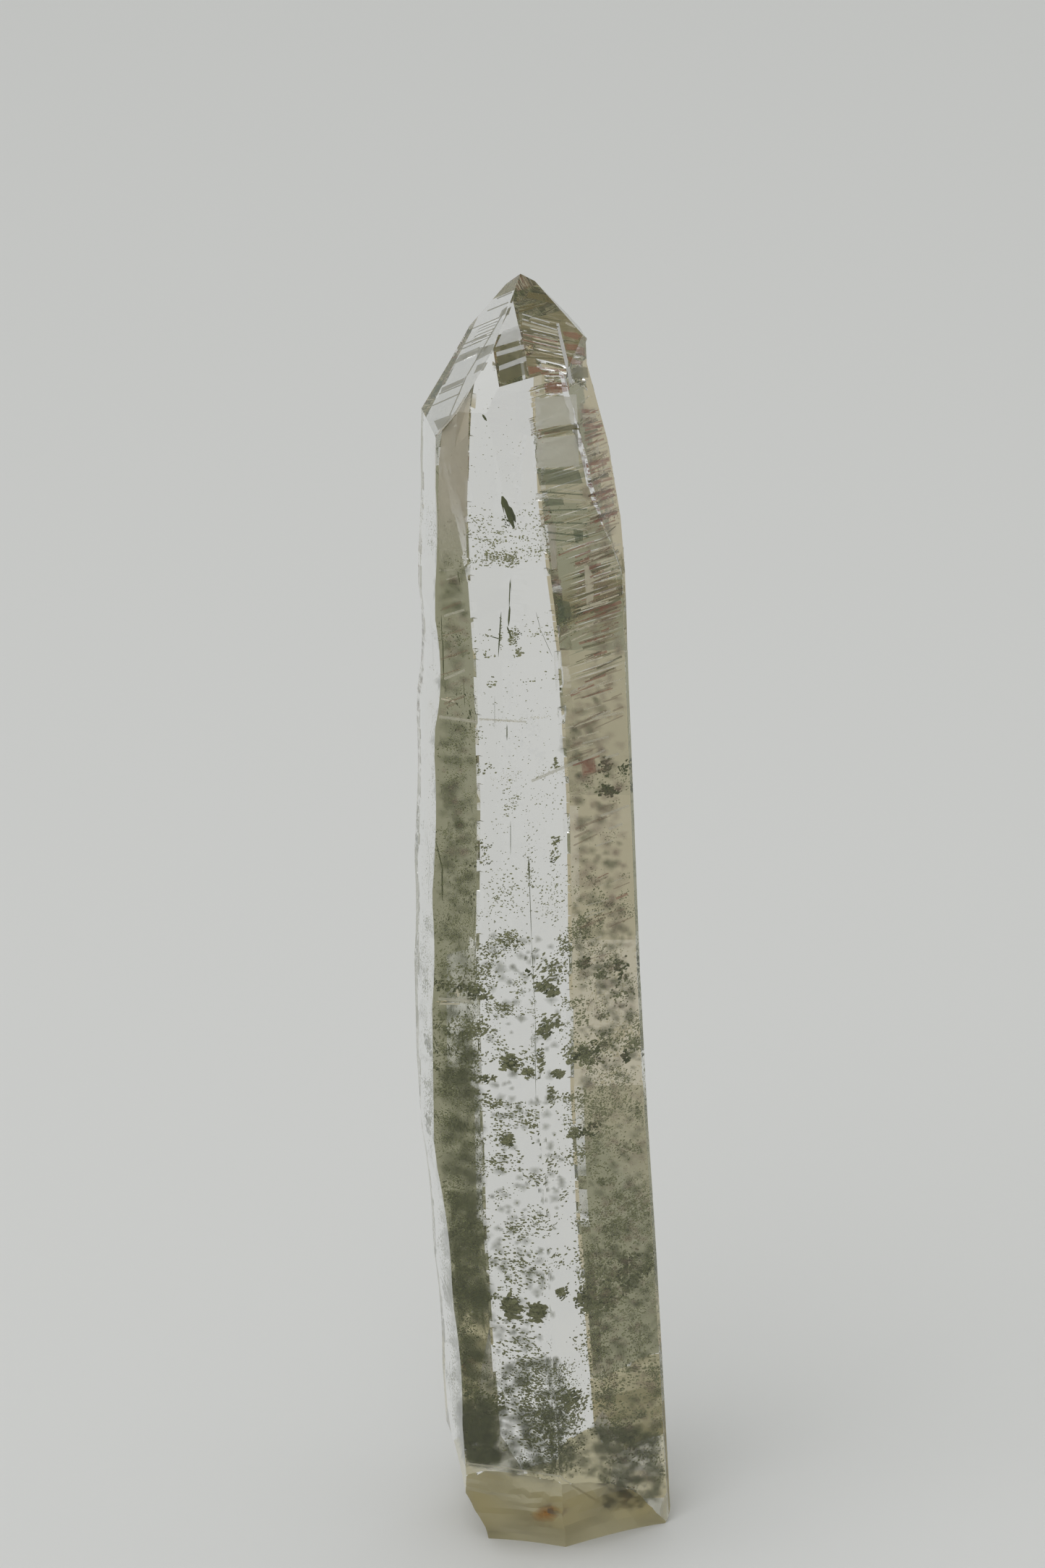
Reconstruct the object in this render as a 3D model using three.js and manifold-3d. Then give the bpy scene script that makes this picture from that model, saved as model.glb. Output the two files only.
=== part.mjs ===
// A single quartz point, grown as one crystal and broken off at its foot.
// Millimetres, +Z up along the crystal's c axis. The origin is on that axis, in the flat cut that it rests on.
// Azimuths are in degrees: 0 faces -Y, the front, and 90 faces +X.

import * as THREE from 'three';
import { mergeVertices } from 'three/addons/utils/BufferGeometryUtils.js';
import Module from 'manifold-3d';

// Angle between a tip face and the c axis, about the same on every quartz crystal.
const TIP_FACE_TILT = 38.2;

// The prism faces stand 60 degrees apart. The shoulder is a strip of stepped growth between two of them.
// Each face's distance from the c axis is given at the section heights, from the foot to the tip.
// stepShare is the part of the taper that the ledges take: the rest is an even slope between them.
const SECTION_HEIGHTS = [0, 20, 30, 40, 50, 60, 70, 75, 80];
const PRISM_FACES = [
  {
    name: 'left',
    azimuth: -82,
    distances: [6.7, 6.9, 7.4, 6.9, 6.1, 5.2, 4.5, 4.2, 4.1],
    ledges: 4,
    stepShare: 0.3,
  },
  {
    name: 'front_left',
    azimuth: -22,
    distances: [7.6, 7.5, 7.1, 7.0, 6.4, 5.8, 5.2, 4.7, 4.5],
    ledges: 7,
    stepShare: 0.3,
  },
  {
    name: 'front_right',
    azimuth: 38,
    distances: [6.6, 6.5, 6.2, 6.1, 5.7, 5.2, 4.6, 4.0, 3.1],
    ledges: 12,
    stepShare: 0.35,
  },
  {
    name: 'shoulder',
    azimuth: 66,
    distances: [9.0, 9.0, 9.0, 9.0, 9.0, 9.0, 5.8, 5.3, 4.4],
    ledges: 10,
    stepShare: 0.9,
  },
  {
    name: 'right',
    azimuth: 98,
    distances: [7.1, 7.0, 6.9, 6.9, 7.1, 7.3, 7.6, 7.1, 6.1],
    ledges: 12,
    stepShare: 0.7,
  },
  {
    name: 'back_right',
    azimuth: 158,
    distances: [6.9, 6.3, 6.3, 7.1, 7.5, 7.3, 6.6, 6.0, 5.4],
    ledges: 12,
    stepShare: 0.7,
  },
  {
    name: 'back_left',
    azimuth: 218,
    distances: [7.1, 6.9, 6.7, 7.0, 6.8, 6.5, 6.0, 5.5, 4.9],
    ledges: 12,
    stepShare: 0.7,
  },
];

// Each tip face is given by the height at which it would cut the c axis.
const TIP_FACES = [
  { azimuth: -82, axisHeight: 83.0 },
  { azimuth: -22, axisHeight: 85.0 },
  { azimuth: 38, axisHeight: 84.6 },
  { azimuth: 98, axisHeight: 89.5 },
  { azimuth: 158, axisHeight: 90.3 },
  { azimuth: 218, axisHeight: 88.3 },
];

// The ledges crowd towards the tip. Between two of them the face is upright.
const LEDGE_LOWEST = 9;
const LEDGE_HIGHEST = 83;
const LEDGE_CROWDING = 0.75;
const LEDGE_UNEVENNESS = 0.33;
const UNEVEN_PER_LEDGE = 7.3;
const UNEVEN_PER_FACE = 2.1;
const LEDGE_LEAST_RISE = 0.08;
const LEAST_EDGE_FLAT = 0.12;

// Shallow dissolved hollows in the left face: height of the middle, half length and depth.
const HOLLOWS = [
  { height: 71, reach: 3.2, depth: 0.12 },
  { height: 62, reach: 3.6, depth: 0.3 },
  { height: 52, reach: 4.5, depth: 0.16 },
  { height: 43, reach: 3.4, depth: 0.12 },
  { height: 24, reach: 4.0, depth: 0.16 },
  { height: 14, reach: 4.2, depth: 0.16 },
];
const HOLLOW_STEPS = 6;

// Shell-shaped chips round the broken foot. Each starts at a height on the side that faces its azimuth,
// undercuts the foot by that much at the flat cut, and curves with its radius.
const FOOT_CHIPS = [
  { azimuth: -22, distance: 7.5, sideways: 1.0, height: 6.5, undercut: 2.7, radius: 36 },
  { azimuth: 38, distance: 6.6, sideways: -5.8, height: 6.0, undercut: 2.4, radius: 36 },
  { azimuth: 98, distance: 7.1, sideways: 0.5, height: 2.2, undercut: 1.3, radius: 12 },
  { azimuth: 150, distance: 6.9, sideways: 0.0, height: 3.8, undercut: 1.9, radius: 14 },
  { azimuth: 208, distance: 7.2, sideways: 1.0, height: 4.8, undercut: 2.2, radius: 15 },
  { azimuth: -86, distance: 6.8, sideways: 0.0, height: 5.8, undercut: 2.0, radius: 20 },
];
const CHIP_FACET = 1.5;
const CHIP_RIPPLE = 0.13;
const CHIP_RIPPLE_PITCH = 2.2;
const CHIP_RIPPLE_SLANT = 0.4;

const BELOW_CUT = 3;
const ABOVE_TIP = 92;
const POINTS_PER_FACE = 3;

// Levels closer than this are one level, and points closer than this are one point.
const CLOSEST_LEVELS = 0.03;
const CLOSEST_POINTS = 0.0001;

const RADIANS = Math.PI / 180;

function outward(azimuth) {
  return new THREE.Vector2(Math.sin(azimuth * RADIANS), -Math.cos(azimuth * RADIANS));
}

function sectionDistance(face, height) {
  const last = SECTION_HEIGHTS.length - 1;
  if (height <= SECTION_HEIGHTS[0]) {
    return face.distances[0];
  }
  if (height >= SECTION_HEIGHTS[last]) {
    return face.distances[last];
  }
  const above = SECTION_HEIGHTS.findIndex((sectionHeight) => sectionHeight > height);
  const below = above - 1;
  const share = (height - SECTION_HEIGHTS[below]) / (SECTION_HEIGHTS[above] - SECTION_HEIGHTS[below]);
  return THREE.MathUtils.lerp(face.distances[below], face.distances[above], share);
}

// The heights at which a face steps, and how far it steps in above each.
function makeLedges(face, faceIndex) {
  const heights = [];
  for (let i = 0; i < face.ledges; i += 1) {
    const uneven = LEDGE_UNEVENNESS * Math.sin(UNEVEN_PER_LEDGE * i + UNEVEN_PER_FACE * faceIndex);
    const share = Math.pow((i + 0.5 + uneven) / face.ledges, LEDGE_CROWDING);
    heights.push(THREE.MathUtils.lerp(LEDGE_LOWEST, LEDGE_HIGHEST, share));
  }
  const ends = [LEDGE_LOWEST, ...heights, LEDGE_HIGHEST];
  const middles = ends.slice(1).map((end, i) => sectionDistance(face, (end + ends[i]) / 2));
  return heights.map((height, i) => {
    const step = face.stepShare * (middles[i + 1] - middles[i]);
    const rise = Math.max(Math.abs(step) / Math.tan(TIP_FACE_TILT * RADIANS), LEDGE_LEAST_RISE);
    return { height, rise, step };
  });
}

// An even slope takes what the steps leave, so that the face keeps its distances at the sections.
function steppedDistance(face, height) {
  if (height < LEDGE_LOWEST) {
    return sectionDistance(face, height);
  }
  const foot = sectionDistance(face, LEDGE_LOWEST);
  const even = (1 - face.stepShare) * (sectionDistance(face, height) - foot);
  let stepped = 0;
  face.steps.forEach((step) => {
    const share = THREE.MathUtils.clamp((height - step.height) / step.rise, 0, 1);
    stepped += share * step.step;
  });
  return foot + even + stepped;
}

function hollowDepth(height) {
  let depth = 0;
  HOLLOWS.forEach((hollow) => {
    const away = (height - hollow.height) / hollow.reach;
    if (Math.abs(away) < 1) {
      depth += hollow.depth * (1 - away * away);
    }
  });
  return depth;
}

function faceDistance(face, height) {
  const distance = steppedDistance(face, height);
  return face.name === 'left' ? distance - hollowDepth(height) : distance;
}

function cornerBetween(first, firstDistance, second, secondDistance) {
  const a = outward(first.azimuth);
  const b = outward(second.azimuth);
  const determinant = a.x * b.y - a.y * b.x;
  const x = (firstDistance * b.y - secondDistance * a.y) / determinant;
  const y = (a.x * secondDistance - b.x * firstDistance) / determinant;
  return new THREE.Vector2(x, y);
}

// The shoulder always keeps a narrow flat, so that every section has the same corners.
function sectionDistances(height) {
  const distances = PRISM_FACES.map((face) => faceDistance(face, height));
  const index = PRISM_FACES.findIndex((face) => face.name === 'shoulder');
  const before = index - 1;
  const after = index + 1;
  const corner = cornerBetween(PRISM_FACES[before], distances[before], PRISM_FACES[after], distances[after]);
  const reach = corner.dot(outward(PRISM_FACES[index].azimuth));
  distances[index] = Math.min(distances[index], reach - LEAST_EDGE_FLAT);
  return distances;
}

function section(height) {
  const distances = sectionDistances(height);
  const count = PRISM_FACES.length;
  const corners = PRISM_FACES.map((face, i) => {
    const next = (i + 1) % count;
    return cornerBetween(face, distances[i], PRISM_FACES[next], distances[next]);
  });
  const points = [];
  corners.forEach((corner, i) => {
    const next = corners[(i + 1) % count];
    for (let k = 0; k < POINTS_PER_FACE; k += 1) {
      points.push(corner.clone().lerp(next, k / POINTS_PER_FACE));
    }
  });
  return points;
}

function sectionLevels() {
  const levels = [-BELOW_CUT, LEDGE_LOWEST, ABOVE_TIP, ...SECTION_HEIGHTS];
  PRISM_FACES.forEach((face) => {
    face.steps.forEach((step) => levels.push(step.height, step.height + step.rise));
  });
  HOLLOWS.forEach((hollow) => {
    for (let i = 0; i <= HOLLOW_STEPS; i += 1) {
      levels.push(hollow.height + hollow.reach * ((2 * i) / HOLLOW_STEPS - 1));
    }
  });
  levels.sort((a, b) => a - b);
  return levels.filter((level, i) => i === 0 || level - levels[i - 1] > CLOSEST_LEVELS);
}

function prismGeometry() {
  const rings = sectionLevels().map((height) => ({ height, points: section(height) }));
  const around = rings[0].points.length;
  const positions = [];
  rings.forEach((ring) => ring.points.forEach((point) => positions.push(point.x, point.y, ring.height)));
  const triangles = [];
  for (let r = 0; r + 1 < rings.length; r += 1) {
    for (let k = 0; k < around; k += 1) {
      const next = (k + 1) % around;
      const a = r * around + k;
      const b = r * around + next;
      triangles.push(a, b, b + around, a, b + around, a + around);
    }
  }
  const top = (rings.length - 1) * around;
  for (let k = 1; k + 1 < around; k += 1) {
    triangles.push(0, k + 1, k);
    triangles.push(top, top + k, top + k + 1);
  }
  const geometry = new THREE.BufferGeometry();
  geometry.setAttribute('position', new THREE.Float32BufferAttribute(positions, 3));
  geometry.setIndex(triangles);
  return geometry;
}

// A blow leaves a shell-shaped hollow with low ripples round the point that was struck.
function chipGeometry(chip) {
  const out = outward(chip.azimuth);
  const slope = new THREE.Vector2(chip.undercut, chip.height);
  const back = Math.sqrt(chip.radius ** 2 - slope.lengthSq() / 4);
  slope.normalize();
  const away = chip.distance - chip.undercut / 2 + back * slope.y;
  const middle = new THREE.Vector3(
    out.x * away - out.y * chip.sideways,
    out.y * away + out.x * chip.sideways,
    chip.height / 2 - back * slope.x,
  );
  const detail = Math.round(chip.radius / CHIP_FACET);
  const geometry = new THREE.IcosahedronGeometry(chip.radius, detail);
  const position = geometry.getAttribute('position');
  const point = new THREE.Vector3();
  for (let i = 0; i < position.count; i += 1) {
    point.fromBufferAttribute(position, i);
    const along = point.z + CHIP_RIPPLE_SLANT * point.x;
    const ripple = CHIP_RIPPLE * Math.sin(CHIP_RIPPLE_PITCH * along);
    point.setLength(chip.radius + ripple);
    point.add(middle);
    position.setXYZ(i, point.x, point.y, point.z);
  }
  return geometry;
}

const wasm = await Module();
wasm.setup();

function solidFrom(geometry) {
  const bare = geometry.clone();
  bare.deleteAttribute('normal');
  bare.deleteAttribute('uv');
  const merged = mergeVertices(bare, CLOSEST_POINTS);
  return new wasm.Manifold(new wasm.Mesh({
    numProp: 3,
    vertProperties: new Float32Array(merged.getAttribute('position').array),
    triVerts: new Uint32Array(merged.getIndex().array),
  }));
}

function geometryFrom(solid) {
  const mesh = solid.getMesh();
  const geometry = new THREE.BufferGeometry();
  geometry.setAttribute('position', new THREE.BufferAttribute(mesh.vertProperties, 3));
  geometry.setIndex(new THREE.BufferAttribute(mesh.triVerts, 1));
  geometry.computeVertexNormals();
  return geometry;
}

function cutTip(solid) {
  const rise = Math.sin(TIP_FACE_TILT * RADIANS);
  const spread = Math.cos(TIP_FACE_TILT * RADIANS);
  let cut = solid;
  TIP_FACES.forEach((face) => {
    const level = outward(face.azimuth);
    const inward = [-level.x * spread, -level.y * spread, -rise];
    cut = cut.trimByPlane(inward, -face.axisHeight * rise);
  });
  return cut;
}

function breakFoot(solid) {
  let broken = solid;
  FOOT_CHIPS.forEach((chip) => {
    broken = broken.subtract(solidFrom(chipGeometry(chip)));
  });
  return broken.trimByPlane([0, 0, 1], 0);
}

PRISM_FACES.forEach((face, i) => {
  face.steps = makeLedges(face, i);
});

const crystal = new THREE.Mesh(
  geometryFrom(breakFoot(cutTip(solidFrom(prismGeometry())))),
  new THREE.MeshStandardMaterial({
    color: 0xd9dcd4,
    roughness: 0.05,
    metalness: 0,
    transparent: true,
    opacity: 0.45,
  }),
);
crystal.name = 'quartz_crystal';

const part = new THREE.Group();
part.add(crystal);

export default part;
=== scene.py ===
# %% [markdown]
# A quartz point with epidote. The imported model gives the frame: one crystal, standing on a flat cut, with its
# c axis along +Z. Everything below is fitted round that solid, in metres.

# %% The frame
import math
import random

import bmesh
import bpy
import numpy as np
from mathutils import Matrix, Vector
from mathutils.bvhtree import BVHTree


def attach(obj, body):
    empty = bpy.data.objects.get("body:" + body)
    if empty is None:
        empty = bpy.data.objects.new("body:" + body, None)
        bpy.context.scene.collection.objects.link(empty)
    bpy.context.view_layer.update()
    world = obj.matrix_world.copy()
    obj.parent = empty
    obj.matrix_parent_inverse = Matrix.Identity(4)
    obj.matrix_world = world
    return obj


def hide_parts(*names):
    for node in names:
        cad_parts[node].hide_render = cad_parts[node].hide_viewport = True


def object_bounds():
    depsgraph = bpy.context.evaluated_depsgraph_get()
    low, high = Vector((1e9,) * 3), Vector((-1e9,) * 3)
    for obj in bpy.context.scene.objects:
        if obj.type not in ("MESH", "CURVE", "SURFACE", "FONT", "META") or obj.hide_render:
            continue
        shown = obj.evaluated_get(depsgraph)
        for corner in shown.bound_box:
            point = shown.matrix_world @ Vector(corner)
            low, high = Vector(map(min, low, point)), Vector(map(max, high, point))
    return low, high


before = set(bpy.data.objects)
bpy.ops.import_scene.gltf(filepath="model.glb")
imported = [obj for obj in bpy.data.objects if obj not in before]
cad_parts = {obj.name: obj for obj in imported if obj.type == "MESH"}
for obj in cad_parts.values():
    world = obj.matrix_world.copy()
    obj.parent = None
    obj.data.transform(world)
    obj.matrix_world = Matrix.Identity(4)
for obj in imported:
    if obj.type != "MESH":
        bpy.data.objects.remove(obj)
cad_low, cad_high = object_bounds()
MM = 0.001
print("crystal stands", round((cad_high.z - cad_low.z) / MM, 1), "mm tall")

# %% [markdown]
# The camera of a close-up: far enough away for little perspective, a little above, and turned by a few degrees
# so that the crystal leans as it does in the photograph. Its frame is the photograph's tall one, and the lens
# follows from the height that the picture takes in at the crystal.

# %% Camera
CAMERA_AWAY = 400.0
CAMERA_ELEVATION = math.radians(21.04)
CAMERA_ROLL = math.radians(3.21)
CAMERA_TARGET = Vector((0.28, 0.0, 52.64))
PICTURE_WIDE = 1445
PICTURE_TALL = 2168
MM_PER_PIXEL = 0.0467
SENSOR_LONG_SIDE = 36.0
NEAREST_SEEN = 0.01

FORWARD = Vector((0, math.cos(CAMERA_ELEVATION), -math.sin(CAMERA_ELEVATION)))
LEVEL = Vector((1, 0, 0))
UPRIGHT = LEVEL.cross(FORWARD)
ACROSS = LEVEL * math.cos(CAMERA_ROLL) - UPRIGHT * math.sin(CAMERA_ROLL)
ABOVE = LEVEL * math.sin(CAMERA_ROLL) + UPRIGHT * math.cos(CAMERA_ROLL)
CAMERA_PLACE = CAMERA_TARGET - FORWARD * CAMERA_AWAY


def make_camera():
    data = bpy.data.cameras.new("camera")
    data.sensor_width = SENSOR_LONG_SIDE
    data.lens = SENSOR_LONG_SIDE * CAMERA_AWAY / (PICTURE_TALL * MM_PER_PIXEL)
    data.clip_start = NEAREST_SEEN
    camera = bpy.data.objects.new("camera", data)
    turn = Matrix((ACROSS, ABOVE, -FORWARD)).transposed()
    camera.matrix_world = Matrix.Translation(CAMERA_PLACE * MM) @ turn.to_4x4()
    bpy.context.collection.objects.link(camera)
    bpy.context.scene.camera = camera
    return camera


camera = make_camera()
print("lens", round(camera.data.lens, 1), "mm")

# %% [markdown]
# The crystal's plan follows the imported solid's: seven faces round the c axis, each at its own distance at ten
# heights, six tip faces and six chips at the foot. Some distances differ from the solid's by a few tenths of a
# millimetre. Clear faces are windows and mirrors, and what they show inside hangs on the angles between them, so
# they were tuned until the bands fell where the photograph has them.

# %% The crystal's plan
TIP_FACE_TILT = math.radians(38.2)
SECTION_HEIGHTS = [0, 20, 30, 40, 50, 60, 65, 70, 75, 80]
PRISM_FACES = {
    "left": (-82, [6.7, 6.9, 7.4, 6.95, 6.3, 5.5, 5.2, 4.9, 4.5, 4.2]),
    "front_left": (-22, [7.6, 7.5, 7.1, 7.0, 6.4, 5.8, 5.5, 5.2, 4.7, 4.5]),
    "front_right": (38, [6.6, 6.5, 6.2, 6.1, 5.7, 5.2, 4.9, 4.6, 4.0, 3.1]),
    "shoulder": (66, [9.0, 9.0, 9.0, 9.0, 7.9, 7.45, 7.2, 6.25, 5.5, 4.4]),
    "right": (98, [7.1, 7.0, 6.9, 6.9, 7.1, 7.3, 7.45, 7.6, 7.1, 6.1]),
    "back_right": (158, [6.9, 6.3, 6.3, 7.1, 7.5, 7.3, 6.8, 6.42, 6.2, 6.0]),
    "back_left": (218, [7.1, 6.9, 6.7, 7.0, 6.8, 6.5, 6.25, 6.0, 5.5, 4.9]),
}
FACE_NAMES = list(PRISM_FACES)
AZIMUTHS = np.radians([PRISM_FACES[name][0] for name in FACE_NAMES])
OUTWARD = np.stack([np.sin(AZIMUTHS), -np.cos(AZIMUTHS)], axis=1)
ALONG = np.stack([np.cos(AZIMUTHS), np.sin(AZIMUTHS)], axis=1)
TIP_FACES = [
    (-82, 83.0), (-22, 85.0), (38, 84.6), (98, 89.5), (158, 90.3), (218, 88.3),
]
HOLLOWS = [
    (71, 3.2, 0.12), (62, 3.6, 0.3), (52, 4.5, 0.16), (43, 3.4, 0.12), (24, 4.0, 0.16), (14, 4.2, 0.16),
]


def section_distance(name, heights):
    return np.interp(heights, SECTION_HEIGHTS, PRISM_FACES[name][1])


print(len(FACE_NAMES), "prism faces and", len(TIP_FACES), "tip faces")

# %% [markdown]
# Quartz grows in steps, and near the tip they show. Most don't reach across a face: each is a low plate of growth,
# with a share of the face's width and a range of heights, and it stands out or is sunk by a little. Its upper edge
# slopes as a tip face does. They could be painted as a bump, but a clear crystal bends light at every step, and only
# real relief does that.

# %% Plates of growth
# face: how many, lowest, highest, relief, least and most share of the width, least and most height
PLATES = {
    "front_right": (70, 60, 80, 0.02, 0.36, 0.42, 0.05, 0.35),
    "shoulder": (30, 56, 83, 0.04, 0.3, 0.6, 0.15, 1.2),
    "right": (40, 56, 86, 0.07, 0.12, 0.28, 0.2, 1.6),
}
PLATES_BETWEEN = {"front_right": (0.55, 0.97), "shoulder": (0.02, 0.75), "right": (0.02, 0.3)}
PLATE_EDGE = 0.1
LEAST_PLATE_RISE = 0.05
LEAST_RELIEF_SHARE = 0.3
OUT_OR_IN = (-1, 1, 1)
LAST_SHARE = 0.95


def make_plates(name, chance):
    count, lowest, highest, relief, narrow, wide, short, tall = PLATES[name]
    least, most = PLATES_BETWEEN[name]
    plates = []
    for _ in range(count):
        share = chance.uniform(narrow, wide)
        start = chance.uniform(least, max(least, most - share))
        low = chance.uniform(lowest, highest)
        size = relief * chance.uniform(LEAST_RELIEF_SHARE, 1.0) * chance.choice(OUT_OR_IN)
        rise = max(abs(size) / math.tan(TIP_FACE_TILT), LEAST_PLATE_RISE)
        high = low + rise + chance.uniform(short, tall)
        plates.append((low, high, rise, start, min(start + share, LAST_SHARE), size))
    return plates


chance = random.Random(23)
ALL_PLATES = {name: make_plates(name, chance) for name in PLATES}
print({name: len(plates) for name, plates in ALL_PLATES.items()}, "plates")

# %% [markdown]
# One part of the back right face has slivers at the angle of a tip face, with upright strips between them. Seen
# through the tip they are its stripes. They are listed one by one, because their spacing is what the eye reads.

# %% Slivers
SLIVER_RAMP = 0.04
# bottom and top of each sliver
SLIVERS = [
    (77.2, 77.7), (78.55, 78.6), (78.8, 78.88), (79.05, 79.1), (79.3, 79.4), (79.7, 79.75), (80.0, 80.08),
    (80.3, 80.36),
]
SLIVER_SHARES = (0.42, 0.83)
SLIVER_EDGE = 0.04
SLIVER_REST = 0.1


def sliver_relief(heights):
    relief = np.zeros(len(heights))
    for low, high in SLIVERS:
        size = (high - low) * math.tan(TIP_FACE_TILT)
        relief += size / 2 * np.clip((heights - low + SLIVER_REST) / SLIVER_RAMP, 0, 1)
        relief -= size * np.clip((heights - low) / (high - low), 0, 1)
        relief += size / 2 * np.clip((heights - high - SLIVER_REST) / SLIVER_RAMP, 0, 1)
    return relief


print(len(SLIVERS), "slivers between", SLIVERS[0][0], "and", SLIVERS[-1][1], "mm")

# %% [markdown]
# At each height the relief of a point on a face is the sum of the plates and slivers that reach it. Every plate
# fades out over a little of the width, because growth doesn't end in a wall.

# %% Relief
def plate_relief(name, heights, share):
    relief = np.zeros(len(heights))
    if name == "back_right":
        inside = min(share - SLIVER_SHARES[0], SLIVER_SHARES[1] - share)
        relief += sliver_relief(heights) * np.clip(inside / SLIVER_EDGE, 0, 1)
    for low, high, rise, start, end, size in ALL_PLATES.get(name, ()):
        across = np.clip(min(share - start, end - share) / PLATE_EDGE + 0.5, 0, 1)
        above, below = np.clip((heights - low) / rise, 0, 1), np.clip((high + rise - heights) / rise, 0, 1)
        relief += size * across * above * below
    return relief


print("relief 70 mm up on the right face:", plate_relief("right", np.array([70.0]), 0.2).round(3), "mm")

# %% [markdown]
# The crystal is lofted: a section at every level, joined to the next. Levels are spaced evenly where nothing
# happens, and one is added wherever a plate or a sliver starts or ends, so that its edge stays sharp. Down the edge
# between the two back faces runs a row of small jogs, which make the edge ragged.

# %% Levels
LOWEST_LEVEL, HIGHEST_LEVEL = -3.0, 92.0
WIDEST_GAP = 0.5
CLOSEST_LEVELS = 0.035
JOG_LEAST, JOG_MOST = 0.25, 1.5
JOG_SIZE = 0.11
JOG_REACH = 0.04
JOG_OUT = np.array([0.0, 1.0])
JOG_RISE = 0.08
LOWEST_JOG, JOGS_FADE_FROM, HIGHEST_JOG = 8.0, 74.0, 76.0


def make_jogs(chance):
    height = LOWEST_JOG
    jogs = []
    while height < HIGHEST_JOG:
        jogs.append((height, chance.uniform(-1, 1) * JOG_SIZE))
        height += chance.uniform(JOG_LEAST, JOG_MOST)
    return jogs


jogs = make_jogs(random.Random(7))


def make_levels():
    levels = list(np.arange(LOWEST_LEVEL, HIGHEST_LEVEL + WIDEST_GAP / 2, WIDEST_GAP)) + SECTION_HEIGHTS
    for plates in ALL_PLATES.values():
        for low, high, rise, *_ in plates:
            levels += [low, low + rise, high, high + rise]
    for low, high in SLIVERS:
        before, after = low - SLIVER_REST, high + SLIVER_REST
        levels += [before, before + SLIVER_RAMP, low, high, after, after + SLIVER_RAMP]
    for height, _ in jogs:
        levels += [height, height + JOG_RISE]
    levels = sorted(float(level) for level in levels)
    kept = [levels[0]]
    for level in levels[1:]:
        if level - kept[-1] > CLOSEST_LEVELS:
            kept.append(level)
    return np.array(kept)


levels = make_levels()
print(len(levels), "levels")

# %% [markdown]
# Every face has its distance from the axis at every level. The left face also has shallow hollows, where growth fell
# behind: each is a parabola in height, which is the plainest curve that starts and ends flat enough.

# %% Distances of the faces
def face_distances(name, heights):
    distances = section_distance(name, heights)
    if name == "left":
        for middle, reach, depth in HOLLOWS:
            away = (heights - middle) / reach
            distances -= depth * np.clip(1 - away * away, 0, None)
    return distances


distances = np.stack([face_distances(name, levels) for name in FACE_NAMES], axis=1)
for name, column in zip(FACE_NAMES, distances.T):
    off = np.abs(column - section_distance(name, levels)).max()
    print(name, "leaves its plan by at most", round(float(off), 2), "mm")

# %% [markdown]
# On the right the crystal kept growing over its own edge: a raised strip of stepped growth, the shoulder, stands
# a little over the front right face. Its left flank is parallel to the front left face, so it is a clear window
# through the crystal, and shows as a bright crooked line.

# %% Sections
RIDGE_HEIGHTS = [0, 69, 71, 73, 76, 80, 84, 86]
RIDGE_STANDS = [0.04, 0.04, 0.4, 0.7, 0.75, 0.72, 0.66, 0.6]
RIDGE_PIECE = 1.3
RIDGE_UNEVEN = 0.08
RIDGE_STRETCHES = 200
STRETCH_WANDER, WANDER_PER_MM = 3, 0.9
JOGS_FADE_OVER = 4
FLANK_SHARE = 0.543
LEAST_EDGE_FLAT = 0.12
POINTS_PER_FACE = {"front_right": 11, "shoulder": 9, "back_right": 25}
POINTS_ELSEWHERE = 8
FRONT_LEFT, FIRST, SHOULDER, BACK_RIGHT = 1, 2, 3, 5


def corner_between(a, a_distance, b, b_distance):
    determinant = OUTWARD[a][0] * OUTWARD[b][1] - OUTWARD[a][1] * OUTWARD[b][0]
    x = (a_distance * OUTWARD[b][1] - b_distance * OUTWARD[a][1]) / determinant
    y = (OUTWARD[a][0] * b_distance - OUTWARD[b][0] * a_distance) / determinant
    return np.stack([x, y], axis=-1)


def jog_at(heights):
    shift = np.zeros(len(heights))
    before = 0.0
    for height, size in jogs:
        shift += (size - before) * np.clip((heights - height) / JOG_RISE, 0, 1)
        before = size
    return shift * np.clip((JOGS_FADE_FROM + JOGS_FADE_OVER - heights) / JOGS_FADE_OVER, 0, 1)


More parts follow.
